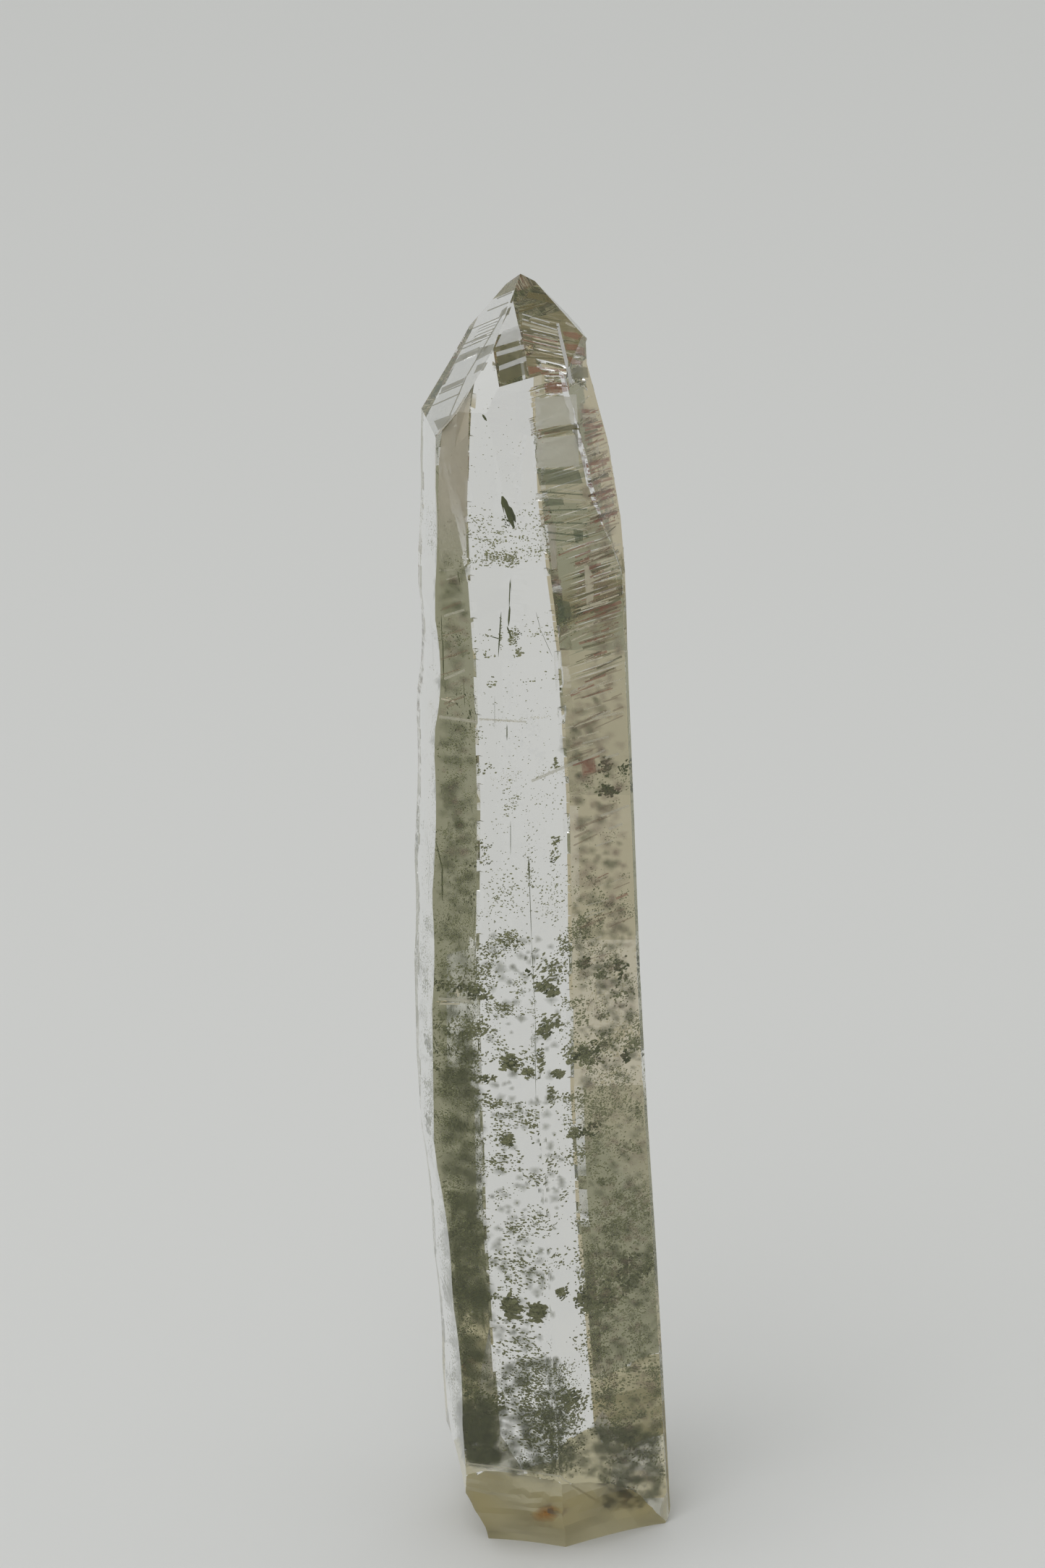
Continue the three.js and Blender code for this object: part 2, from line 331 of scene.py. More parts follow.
def make_sections(levels, distances):
    distances = distances.copy()
    corner = corner_between(FIRST, distances[:, FIRST], SHOULDER + 1, distances[:, SHOULDER + 1])
    reach = corner @ OUTWARD[SHOULDER]
    distances[:, SHOULDER] = np.minimum(distances[:, SHOULDER], reach - LEAST_EDGE_FLAT)
    corners = []
    count = len(FACE_NAMES)
    for i in range(count):
        after = (i + 1) % count
        corners.append(corner_between(i, distances[:, i], after, distances[:, after]))
    chance = random.Random(5)
    uneven = np.array([1 + RIDGE_UNEVEN * chance.uniform(-1, 1) for _ in range(RIDGE_STRETCHES)])
    stretch = levels / RIDGE_PIECE + STRETCH_WANDER * np.sin(levels * WANDER_PER_MM)
    stands = np.interp(levels, RIDGE_HEIGHTS, RIDGE_STANDS) * uneven[stretch.astype(int) % RIDGE_STRETCHES]
    over = corners[FIRST] - ALONG[SHOULDER] * stands[:, None]
    foot = over - ALONG[FRONT_LEFT] * (FLANK_SHARE * stands)[:, None]
    rings = []
    for i in range(count):
        name = FACE_NAMES[(i + 1) % count]
        start, end = corners[i], corners[(i + 1) % count]
        if i == FRONT_LEFT:
            end = foot
        if i == FIRST:
            rings.append(foot)
            start = over
        points = POINTS_PER_FACE.get(name, POINTS_ELSEWHERE)
        jogged = JOG_OUT * jog_at(levels)[:, None]
        for k in range(points):
            share = k / points
            if i == BACK_RIGHT and k == 1:
                share = JOG_REACH
            relief = plate_relief(name, levels, share) if k else np.zeros(len(levels))
            point = start + (end - start) * share + OUTWARD[(i + 1) % count] * relief[:, None]
            rings.append(point + jogged if i == BACK_RIGHT and k == 0 else point)
    return np.stack(rings, axis=1)


box_low, box_high = np.array(cad_low.xy) / MM, np.array(cad_high.xy) / MM
sections = np.clip(make_sections(levels, distances), box_low, box_high)
print(sections.shape[1], "points round each section")

# %% [markdown]
# The sections are joined into a closed body by rows of four-sided faces, and the six tip faces are cut off it by
# planes. A boolean with six half spaces would do the same, but bisecting keeps the new faces exactly flat, and a
# flat tip face is what a clear point needs.

# %% The body
CUT_WELD = 1e-8


def loft(name, levels, sections):
    rows, around = sections.shape[:2]
    points = np.concatenate([sections, np.broadcast_to(levels[:, None, None], (rows, around, 1))], axis=2)
    index = np.arange(rows * around).reshape(rows, around)
    after = np.roll(index, -1, axis=1)
    quads = np.stack([index[:-1], after[:-1], after[1:], index[1:]], axis=-1).reshape(-1, 4)
    faces = quads.tolist() + [index[0, ::-1].tolist(), index[-1].tolist()]
    mesh = bpy.data.meshes.new(name)
    mesh.from_pydata((points.reshape(-1, 3) * MM).tolist(), [], faces)
    return mesh


def cut_tip(mesh):
    work = bmesh.new()
    work.from_mesh(mesh)
    for azimuth, height in TIP_FACES:
        turn = math.radians(azimuth)
        spread = math.cos(TIP_FACE_TILT)
        normal = Vector((math.sin(turn) * spread, -math.cos(turn) * spread, math.sin(TIP_FACE_TILT)))
        place = Vector((0, 0, height * MM))
        bmesh.ops.bisect_plane(
            work, geom=[*work.verts, *work.edges, *work.faces], plane_co=place, plane_no=normal,
            clear_outer=True, dist=CUT_WELD,
        )
        rim = [edge for edge in work.edges if edge.is_boundary]
        bmesh.ops.contextual_create(work, geom=rim)
    bmesh.ops.recalc_face_normals(work, faces=work.faces)
    work.to_mesh(mesh)
    work.free()


body = loft("quartz crystal", levels, sections)
cut_tip(body)
print("body has", len(body.polygons), "faces")

# %% [markdown]
# The foot broke off its rock. Quartz has no cleavage and breaks in shells, so each blow left a shallow ball-shaped
# hollow with ripples, and the sharp edges between them are as they were. The cut at the bottom is flat.

# %% Foot chips
# azimuth, distance, sideways, height, undercut and radius
FOOT_CHIPS = [
    (-22, 7.5, 1.0, 6.5, 2.7, 36), (38, 6.6, -7.0, 6.4, 2.5, 26), (98, 7.1, 0.5, 2.2, 1.3, 12),
    (150, 6.9, 0.0, 3.8, 1.9, 14), (208, 7.2, 1.0, 4.8, 2.2, 15), (-86, 6.8, 0.0, 5.8, 2.0, 20),
]
CHIP_RIPPLE = 0.05
RIPPLE_PITCH, RIPPLE_SLANT = 2.2, 0.4
FINE_RIPPLE, FINE_PITCH, FINE_SLANT = 0.5, 5.1, 1.3
LARGE_CHIP_RADIUS = 30
BELOW_CUT, CUT_WIDE = 5, 40


def tool_object(name, work):
    mesh = bpy.data.meshes.new(name)
    work.to_mesh(mesh)
    work.free()
    return bpy.data.objects.new(name, mesh)


def chip_tool(azimuth, distance, sideways, height, undercut, radius):
    turn = math.radians(azimuth)
    out = Vector((math.sin(turn), -math.cos(turn)))
    slope = Vector((undercut, height))
    back = math.sqrt(radius**2 - slope.length_squared / 4)
    slope.normalize()
    away = distance - undercut / 2 + back * slope.y
    x, y = out.x * away - out.y * sideways, out.y * away + out.x * sideways
    middle = Vector((x, y, height / 2 - back * slope.x))
    work = bmesh.new()
    bmesh.ops.create_icosphere(work, subdivisions=7 if radius > LARGE_CHIP_RADIUS else 6, radius=radius)
    for vertex in work.verts:
        x, y, z = vertex.co
        wave = math.sin(RIPPLE_PITCH * (z + RIPPLE_SLANT * x))
        wave += FINE_RIPPLE * math.sin(FINE_PITCH * z - FINE_SLANT * y)
        vertex.co = (vertex.co.normalized() * (radius + CHIP_RIPPLE * wave) + middle) * MM
    return tool_object("chip", work)


def box_tool():
    work = bmesh.new()
    bmesh.ops.create_cube(work, size=1.0)
    for vertex in work.verts:
        x, y, z = vertex.co
        vertex.co = Vector((x * CUT_WIDE, y * CUT_WIDE, (z - 0.5) * BELOW_CUT)) * MM
    return tool_object("below", work)


def subtract(piece, tools):
    for tool in tools:
        bpy.context.collection.objects.link(tool)
        cut = piece.modifiers.new("cut", "BOOLEAN")
        cut.operation = "DIFFERENCE"
        cut.solver = "MANIFOLD"
        cut.object = tool
    bpy.context.view_layer.update()
    done = bpy.data.meshes.new_from_object(piece.evaluated_get(bpy.context.evaluated_depsgraph_get()))
    piece.modifiers.clear()
    piece.data = done
    for tool in tools:
        bpy.data.objects.remove(tool)


crystal = bpy.data.objects.new("quartz", body)
bpy.context.collection.objects.link(crystal)
subtract(crystal, [chip_tool(*chip) for chip in FOOT_CHIPS] + [box_tool()])
for polygon in crystal.data.polygons:
    polygon.use_smooth = False
corners = np.empty(len(crystal.data.vertices) * 3)
crystal.data.vertices.foreach_get("co", corners)
corners = corners.reshape(-1, 3) / MM
print("crystal", len(crystal.data.polygons), "faces", corners.min(axis=0).round(3), corners.max(axis=0).round(3))

# %% [markdown]
# Clear quartz has hardly any colour of its own and shows what stands round it. A photographer lights it with a
# pale ground behind and darker cards out of the picture at the sides, and its bands are those cards, bent in by
# the faces. Cards would be in the way from other sides, so here the world itself is pale behind and in front and
# darker at the sides, and only the rays that leave the glass see that.

# %% Colours round the crystal
PALE = (0.575, 0.585, 0.57, 1)
BEHIND = (0.575, 0.582, 0.572, 1)
BROWN_SIDE = (0.385, 0.345, 0.235, 1)
OLIVE_SIDE = (0.228, 0.226, 0.150, 1)
GOLDEN_FOOT = (0.19, 0.165, 0.085, 1)
BROWN_AZIMUTH, OLIVE_AZIMUTH, RIGHT_AZIMUTH, GOLDEN_AZIMUTH = -95, -134, 120, -165
# degrees from a card's middle at which it starts and is full
BROWN_REACH, OLIVE_REACH, RIGHT_REACH, GOLDEN_REACH = (77, 68), (17, 11), (36, 30), (75, 60)
CARDS_START_BELOW, CARDS_FULL_BELOW = -14, -19
GOLDEN_START_BELOW, GOLDEN_FULL_BELOW = -41, -46
print("pale behind, brown towards azimuth", BROWN_AZIMUTH, "and olive towards", OLIVE_AZIMUTH, "and", RIGHT_AZIMUTH)

# %% [markdown]
# A mask is 1 in the directions that one card fills and 0 elsewhere, with a soft rim. It comes from the angle to the
# middle of the card, which is a dot product, or from the height of the direction.

# %% Masks by direction
def add_node(tree, kind, inputs=(), **settings):
    """Adds a node. Each input gets a value, or a link from the socket given for it."""
    node = tree.nodes.new("ShaderNode" + kind)
    for name, value in settings.items():
        setattr(node, name, value)
    for socket, value in inputs:
        if isinstance(value, bpy.types.NodeSocket):
            tree.links.new(value, node.inputs[socket])
        else:
            node.inputs[socket].default_value = value
    return node


def ramp(tree, value, start, full, interpolation="LINEAR"):
    limits = [("Value", value), ("From Min", start), ("From Max", full)]
    return add_node(tree, "MapRange", limits, interpolation_type=interpolation).outputs["Result"]


def side_mask(tree, direction, azimuth, reach):
    turn = math.radians(azimuth)
    middle = (math.sin(turn), math.cos(turn), 0)
    dot = add_node(tree, "VectorMath", [(0, direction), (1, middle)], operation="DOT_PRODUCT")
    start, full = [math.cos(math.radians(angle)) for angle in reach]
    return ramp(tree, dot.outputs["Value"], start, full, "SMOOTHSTEP")


def below_mask(tree, height, start, full):
    return ramp(tree, height, math.sin(math.radians(start)), math.sin(math.radians(full)))


def mixed(tree, mask, under, over):
    mix = add_node(tree, "Mix", data_type="RGBA")
    tree.links.new(mask, mix.inputs["Factor"])
    for socket, value in (("A", under), ("B", over)):
        if isinstance(value, tuple):
            mix.inputs[socket].default_value = value
        else:
            tree.links.new(value, mix.inputs[socket])
    return mix.outputs["Result"]


def both(tree, first, second):
    return add_node(tree, "Math", [(0, first), (1, second)], operation="MULTIPLY").outputs["Value"]


print("masks: by side and by height")

# %% [markdown]
# The world lights the whole scene pale. Only a ray that went through glass sees the cards.

# %% World
BOUNCES = 28
SHEETS_DEEP = 32


def make_world():
    world = bpy.data.worlds.new("studio")
    world.use_nodes = True
    tree = world.node_tree
    place = add_node(tree, "TexCoord").outputs["Generated"]
    flat = add_node(tree, "VectorMath", [(0, place), (1, (1, 1, 0))], operation="MULTIPLY")
    level = add_node(tree, "VectorMath", [(0, flat.outputs["Vector"])], operation="NORMALIZE")
    direction = level.outputs["Vector"]
    height = add_node(tree, "SeparateXYZ", [(0, place)]).outputs["Z"]
    low = below_mask(tree, height, CARDS_START_BELOW, CARDS_FULL_BELOW)
    steep = below_mask(tree, height, GOLDEN_START_BELOW, GOLDEN_FULL_BELOW)
    brown = both(tree, side_mask(tree, direction, BROWN_AZIMUTH, BROWN_REACH), low)
    olive = side_mask(tree, direction, OLIVE_AZIMUTH, OLIVE_REACH)
    right = both(tree, side_mask(tree, direction, RIGHT_AZIMUTH, RIGHT_REACH), low)
    golden = both(tree, side_mask(tree, direction, GOLDEN_AZIMUTH, GOLDEN_REACH), steep)
    seen = mixed(tree, brown, BEHIND, mixed(tree, olive, BROWN_SIDE, OLIVE_SIDE))
    seen = mixed(tree, golden, mixed(tree, right, seen, OLIVE_SIDE), GOLDEN_FOOT)
    seen = mixed(tree, add_node(tree, "LightPath").outputs["Is Transmission Ray"], PALE, seen)
    tree.links.new(seen, tree.nodes["Background"].inputs["Color"])
    bpy.context.scene.world = world


make_world()
bpy.context.scene.view_settings.view_transform = "Standard"
# light turns back inside a point many times, and a ray that runs out of turns would be a black patch
cycles = bpy.context.scene.cycles
cycles.max_bounces = cycles.transmission_bounces = cycles.glossy_bounces = BOUNCES
cycles.transparent_max_bounces = SHEETS_DEEP
print("world made,", BOUNCES, "bounces")

# %% [markdown]
# The crystal stands on a plain pale floor, under one wide soft lamp that gives it a faint shadow. The floor is
# hidden from rays through the glass, because they are meant to see the world's cards.

# %% Floor and lamp
FLOOR_HALF = 2.0
FLOOR_COLOUR, FLOOR_ROUGHNESS = (0.765, 0.765, 0.76, 1), 0.7
LAMP_PLACE, LAMP_AIM = Vector((-0.3, -0.4, 0.9)), Vector((0, 0, 0.04))
LAMP_WIDE, LAMP_POWER = 1.0, 3.0


def simple_material(name, colour, roughness):
    material = bpy.data.materials.new(name)
    material.use_nodes = True
    shader = material.node_tree.nodes["Principled BSDF"]
    shader.inputs["Base Color"].default_value = colour
    shader.inputs["Roughness"].default_value = roughness
    return material


def make_floor():
    mesh = bpy.data.meshes.new("floor")
    h = FLOOR_HALF
    mesh.from_pydata([(-h, -h, 0), (h, -h, 0), (h, h, 0), (-h, h, 0)], [], [(0, 1, 2, 3)])
    floor = bpy.data.objects.new("floor", mesh)
    mesh.materials.append(simple_material("pale floor", FLOOR_COLOUR, FLOOR_ROUGHNESS))
    floor.visible_transmission = False
    floor.visible_glossy = False
    bpy.context.collection.objects.link(floor)


def make_lamp():
    data = bpy.data.lights.new("overhead", "AREA")
    data.shape = "DISK"
    data.size = LAMP_WIDE
    data.energy = LAMP_POWER
    lamp = bpy.data.objects.new("overhead", data)
    lamp.location = LAMP_PLACE
    lamp.rotation_euler = (LAMP_AIM - LAMP_PLACE).to_track_quat("-Z", "Y").to_euler()
    bpy.context.collection.objects.link(lamp)


make_floor()
make_lamp()
print("lamp of", LAMP_POWER, "W,", LAMP_WIDE, "m wide")

# %% [markdown]
# Clear quartz is glass to the renderer: full transmission, an index of 1.544, and a volume that takes a little more
# blue than red, which gives the faint olive cast of a long way through. The broken faces of the foot are rougher and
# stained, so a number kept on each face, 0 or 1, steers both.

# %% Clear quartz
QUARTZ_INDEX = 1.544
BROKEN_ROUGHNESS = 0.38
CLEAR_TINT, BROKEN_TINT = (1, 1, 1, 1), (0.42, 0.35, 0.155, 1)
VOLUME_COLOUR, VOLUME_DENSITY = (0.80, 0.79, 0.66, 1), 12.0


def clear_quartz():
    material = bpy.data.materials.new("clear quartz")
    material.use_nodes = True
    tree = material.node_tree
    shader = tree.nodes["Principled BSDF"]
    broken = add_node(tree, "Attribute", attribute_name="broken").outputs["Fac"]
    rough = add_node(tree, "MapRange", [("Value", broken), ("To Min", 0.0), ("To Max", BROKEN_ROUGHNESS)])
    tree.links.new(rough.outputs["Result"], shader.inputs["Roughness"])
    tree.links.new(mixed(tree, broken, CLEAR_TINT, BROKEN_TINT), shader.inputs["Base Color"])
    shader.inputs["IOR"].default_value = QUARTZ_INDEX
    shader.inputs["Transmission Weight"].default_value = 1.0
    volume = add_node(tree, "VolumeAbsorption", [("Color", VOLUME_COLOUR), ("Density", VOLUME_DENSITY)])
    tree.links.new(volume.outputs["Volume"], tree.nodes["Material Output"].inputs["Volume"])
    return material


print("clear quartz: index", QUARTZ_INDEX)

# %% [markdown]
# A face is broken where it lies low down and isn't on any of the plan's faces. Measuring that is surer than asking
# the boolean which faces it made.

# %% Broken faces
BROKEN_BELOW = 9.0
ON_A_FACE = 0.03


def mark_broken(piece):
    middles = np.empty(len(piece.data.polygons) * 3)
    piece.data.polygons.foreach_get("center", middles)
    middles = middles.reshape(-1, 3) / MM
    planes = np.stack([section_distance(name, middles[:, 2]) for name in FACE_NAMES], axis=1)
    within = (planes - middles[:, :2] @ OUTWARD.T).min(axis=1)
    broken = (middles[:, 2] < BROKEN_BELOW) & (within > ON_A_FACE)
    mark = piece.data.attributes.new("broken", "FLOAT", "FACE")
    mark.data.foreach_set("value", broken.astype(np.float32))
    return int(broken.sum())


print("broken faces", mark_broken(crystal))
crystal.data.materials.clear()
crystal.data.materials.append(clear_quartz())
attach(crystal, "root")
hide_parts("quartz_crystal")

# %% [markdown]
# Everything that is seen inside lies where the photograph shows it, so each place is given as a pixel of the
# photograph. A line of sight through that pixel is bent at the surface as light is, and the grain lies on it at
# some share of the way to the far side.

# %% Lines of sight
# a grain keeps this clear of the surface, and is left out where the crystal is thinner than LEAST_WAY
LEAST_COVER, LEAST_WAY = 0.22, 0.66
JUST_INSIDE = 0.001
inside_tree = BVHTree.FromPolygons(
    [tuple(v.co / MM) for v in crystal.data.vertices], [tuple(p.vertices) for p in crystal.data.polygons]
)


def bent(direction, normal, ratio):
    cosine = -direction.dot(normal)
    left = 1 - ratio * ratio * (1 - cosine * cosine)
    return (direction * ratio + normal * (ratio * cosine - math.sqrt(left))).normalized()


def line_of_sight(x, y):
    towards = FORWARD * CAMERA_AWAY
    towards = towards + ACROSS * ((x - PICTURE_WIDE / 2) * MM_PER_PIXEL)
    towards = (towards + ABOVE * ((PICTURE_TALL / 2 - y) * MM_PER_PIXEL)).normalized()
    near, normal, *_ = inside_tree.ray_cast(CAMERA_PLACE, towards)
    if near is None:
        return None
    if normal.dot(towards) > 0:
        normal = -normal
    within = bent(towards, normal, 1 / QUARTZ_INDEX)
    far, *_ = inside_tree.ray_cast(near + within * JUST_INSIDE, within)
    if far is None:
        return None
    return near, within, (far - near).length, normal


def inside_at(x, y, share):
    sight = line_of_sight(x, y)
    if sight is None or sight[2] < LEAST_WAY:
        return None
    near, within, length, normal = sight
    depth = LEAST_COVER + share * (length - 2 * LEAST_COVER)
    return near + within * depth, normal


print("line of sight through the middle", [round(v, 2) for v in line_of_sight(PICTURE_WIDE / 2, PICTURE_TALL / 2)[0]])

# %% [markdown]
# A grain is a flat, five-cornered crumb of green mineral, thicker in the middle. Most lie with their long side
# level, because they settled on faces that grew in level steps, and the quartz closed over them.

# %% Grains
GRAIN_CORNERS = 5
CORNER_UNEVEN = 0.3
# this share of the grains doesn't lie level but is turned by up to this slope
TURNED_SHARE, TURNED_MOST = 0.12, 1.5
GRAIN_TILT = 0.5
GRAIN_SIZES = (0.4, 1.3)
GRAIN_THICKNESS = 0.3
DRIFT_SPREAD, DRIFT_REACH = 0.5, 1.15
TOP_POINT, POINTS_PER_GRAIN = GRAIN_CORNERS, GRAIN_CORNERS + 2
SIDES = [(corner, (corner + 1) % GRAIN_CORNERS) for corner in range(GRAIN_CORNERS)]
GRAIN_FACES = [(a, b, TOP_POINT) for a, b in SIDES] + [(b, a, TOP_POINT + 1) for a, b in SIDES]


def grain_points(place, normal, long, tall, thick, chance):
    across = Vector((-normal.y, normal.x, 0)).normalized()
    if chance.random() < TURNED_SHARE:
        across = (across + Vector((0, 0, chance.uniform(-TURNED_MOST, TURNED_MOST)))).normalized()
    up = normal.cross(across).normalized()
    tilt = chance.uniform(-GRAIN_TILT, GRAIN_TILT)
    up = (up * math.cos(tilt) + normal * math.sin(tilt)).normalized()
    out = across.cross(up).normalized()
    rim = []
    for corner in range(GRAIN_CORNERS):
        turn = 2 * math.pi * (corner + chance.uniform(-CORNER_UNEVEN, CORNER_UNEVEN)) / GRAIN_CORNERS
        rim.append(place + across * (math.cos(turn) * long / 2) + up * (math.sin(turn) * tall / 2))
    return rim + [place + out * (thick / 2), place - out * (thick / 2)]


def drift(patch, chance, stretch, shares):
    """Makes a cloud of grains."""
    x, y, half_wide, half_tall, count, size = patch
    grains = []
    for _ in range(count):
        away = Vector((chance.gauss(0, DRIFT_SPREAD), chance.gauss(0, DRIFT_SPREAD)))
        if away.length > DRIFT_REACH:
            continue
        found = inside_at(x + away.x * half_wide, y + away.y * half_tall, chance.uniform(*shares))
        if found:
            tall = size * chance.uniform(*GRAIN_SIZES)
            long = tall * chance.uniform(1.0, stretch)
            grains.append(grain_points(*found, long, tall, tall * GRAIN_THICKNESS, chance))
    return grains


def drifts(patches, chance, stretch, shares):
    return [grain for patch in patches for grain in drift(patch, chance, stretch, shares)]


print("a grain has", POINTS_PER_GRAIN, "points and", len(GRAIN_FACES), "faces")

# %% [markdown]
# Grains, sheets and blades all become meshes in the same way: one mesh for each kind, which rides with the crystal.
# Thousands of grains in one mesh cost little, where thousands of objects would be slow.

# %% Pieces
def add_piece(name, points, faces, material):
    mesh = bpy.data.meshes.new(name)
    mesh.from_pydata([tuple(point * MM) for point in points], [], faces)
    mesh.materials.append(material)
    piece = bpy.data.objects.new(name, mesh)
    bpy.context.collection.objects.link(piece)
    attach(piece, "root")
    print(name, len(faces), "faces")
    return piece


def joined_grains(name, grains, material):
    points = [point for grain in grains for point in grain]
    starts = range(0, len(points), POINTS_PER_GRAIN)
    faces = [tuple(start + corner for corner in face) for start in starts for face in GRAIN_FACES]
    return add_piece(name, points, faces, material)


print("one mesh for each kind of grain")

# %% [markdown]
# The clear band in the middle shows the green dust best, as patches of grains low down and as scattered specks
# higher up. Each row is one patch that the photograph shows, and the grains in it fall by chance, thicker in the
# middle.

# %% Clouds in the clear band
# x, y, half width, half height, how many grains, grain size in mm
MIDDLE_PATCHES = [
    (768, 1054, 6, 11, 26, 0.13), (714, 1102, 9, 10, 14, 0.06), (768, 1164, 9, 8, 30, 0.14),
    (766, 1184, 10, 9, 34, 0.13), (731, 1208, 2, 24, 26, 0.09), (737, 1215, 4, 14, 14, 0.09),
    (687, 1243, 7, 7, 12, 0.09), (718, 1260, 10, 10, 12, 0.07), (764, 1258, 26, 16, 60, 0.05),
    (703, 1298, 26, 17, 190, 0.11), (700, 1306, 30, 24, 110, 0.07), (781, 1310, 12, 15, 70, 0.15),
    (762, 1344, 25, 26, 150, 0.16), (749, 1363, 11, 9, 60, 0.2), (764, 1371, 9, 8, 46, 0.22),
    (673, 1342, 11, 38, 120, 0.1), (718, 1362, 13, 18, 60, 0.1), (696, 1396, 30, 12, 130, 0.11),
    (762, 1415, 19, 15, 90, 0.18), (752, 1425, 10, 10, 50, 0.22), (683, 1430, 12, 20, 50, 0.09),
    (706, 1471, 13, 12, 90, 0.22), (695, 1458, 15, 22, 60, 0.12), (726, 1464, 14, 26, 80, 0.11),
    (731, 1483, 8, 7, 34, 0.18), (748, 1470, 6, 25, 70, 0.16), (771, 1484, 10, 7, 46, 0.2),
    (783, 1455, 6, 12, 20, 0.14), (762, 1515, 9, 15, 50, 0.16), (684, 1526, 18, 8, 70, 0.13),
    (712, 1540, 38, 18, 190, 0.1), (690, 1568, 22, 24, 110, 0.12), (702, 1577, 9, 9, 60, 0.22),
    (734, 1552, 12, 18, 70, 0.12), (693, 1606, 30, 20, 130, 0.12), (762, 1610, 10, 20, 60, 0.12),
    (738, 1630, 16, 14, 60, 0.11), (700, 1650, 24, 14, 40, 0.08), (780, 1655, 8, 12, 26, 0.12),
    (738, 1692, 40, 24, 210, 0.11), (710, 1700, 18, 18, 70, 0.12), (716, 1752, 38, 34, 280, 0.12),
    (770, 1740, 14, 20, 50, 0.12), (778, 1788, 9, 9, 44, 0.18), (708, 1808, 13, 17, 120, 0.26),
    (744, 1814, 13, 14, 100, 0.25), (716, 1816, 38, 24, 130, 0.13), (722, 1870, 36, 34, 240, 0.13),
    (788, 1935, 22, 18, 150, 0.2), (730, 1935, 34, 28, 200, 0.14), (756, 1985, 50, 24, 260, 0.14),
]
SPARSE_SPECKS = [
    (690, 640, 34, 90, 50, 0.05), (665, 725, 22, 30, 90, 0.08), (676, 752, 26, 20, 90, 0.09),
    (700, 745, 18, 30, 60, 0.08), (690, 772, 32, 12, 110, 0.1), (708, 775, 10, 12, 60, 0.1),
    (710, 880, 8, 14, 80, 0.11), (716, 903, 8, 8, 40, 0.12), (680, 945, 7, 9, 20, 0.1), (692, 880, 3, 24, 40, 0.08),
    (712, 960, 40, 100, 60, 0.055), (720, 1120, 44, 110, 130, 0.06), (706, 1100, 12, 40, 50, 0.09),
    (700, 1000, 34, 50, 50, 0.055), (733, 1200, 8, 60, 80, 0.07), (700, 1230, 30, 40, 110, 0.09),
    (762, 1240, 24, 40, 90, 0.09), (738, 1400, 6, 110, 120, 0.07),
]
CLOUD_STRETCH = 2.6
# shares of the way through the crystal
PATCH_SHARES, SPECK_SHARES = (0.72, 0.98), (0.3, 0.95)
chance = random.Random(31)
green_clouds = drifts(MIDDLE_PATCHES, chance, CLOUD_STRETCH, PATCH_SHARES)
green_clouds += drifts(SPARSE_SPECKS, chance, CLOUD_STRETCH, SPECK_SHARES)
print(len(green_clouds), "grains in the clear band")

# %% [markdown]
# The two dark bands at the sides are full of finer dust. It has no patches that could be told apart, so clusters
# are strewn along each band by chance.

# %% Clouds at the sides
# x of the middle at the top and foot, half width, top and foot in y, clusters, grains in each, grain size in mm
SIDE_BANDS = [
    ((632, 630), 20, (600, 1000), 14, 26, 0.06), ((632, 626), 22, (1000, 1450), 34, 46, 0.07),
    ((630, 655), 24, (1400, 2010), 70, 70, 0.08), ((828, 838), 38, (1020, 1280), 16, 40, 0.09),
    ((835, 856), 46, (1220, 1760), 66, 66, 0.1), ((852, 878), 48, (1660, 2060), 60, 74, 0.09),
    ((740, 765), 46, (1880, 2030), 30, 80, 0.09),
]
SIDE_SHARES = (0.04, 0.4)
CLUSTER_REACH, USUAL_REACH = (7, 20), 14
CLUSTER_HEIGHTS, CLUSTER_SIZES = (0.6, 1.4), (0.6, 1.5)
CLUSTER_STRETCH = 1.8


def place_in_band(band, chance):
    (x_top, x_foot), half_wide, (top, foot) = band
    down = chance.uniform(0, 1)
    return x_top + (x_foot - x_top) * down + chance.uniform(-1, 1) * half_wide, top + (foot - top) * down


def make_side_clouds():
    chance = random.Random(47)
    grains = []
    for *band, clusters, count, size in SIDE_BANDS:
        for _ in range(clusters):
            x, y = place_in_band(band, chance)
            reach = chance.uniform(*CLUSTER_REACH)
            half_tall = reach * chance.uniform(*CLUSTER_HEIGHTS)
            size_here = size * chance.uniform(*CLUSTER_SIZES)
            patch = (x, y, reach, half_tall, int(count * reach / USUAL_REACH), size_here)
            grains += drift(patch, chance, CLUSTER_STRETCH, SIDE_SHARES)
    return grains


side_clouds = make_side_clouds()
print(len(side_clouds), "grains at the sides")

# %% [markdown]
# Where a cloud is dense it is nearly black green, because the grains there are epidote and not dust. These cores are
# small patches of larger grains.

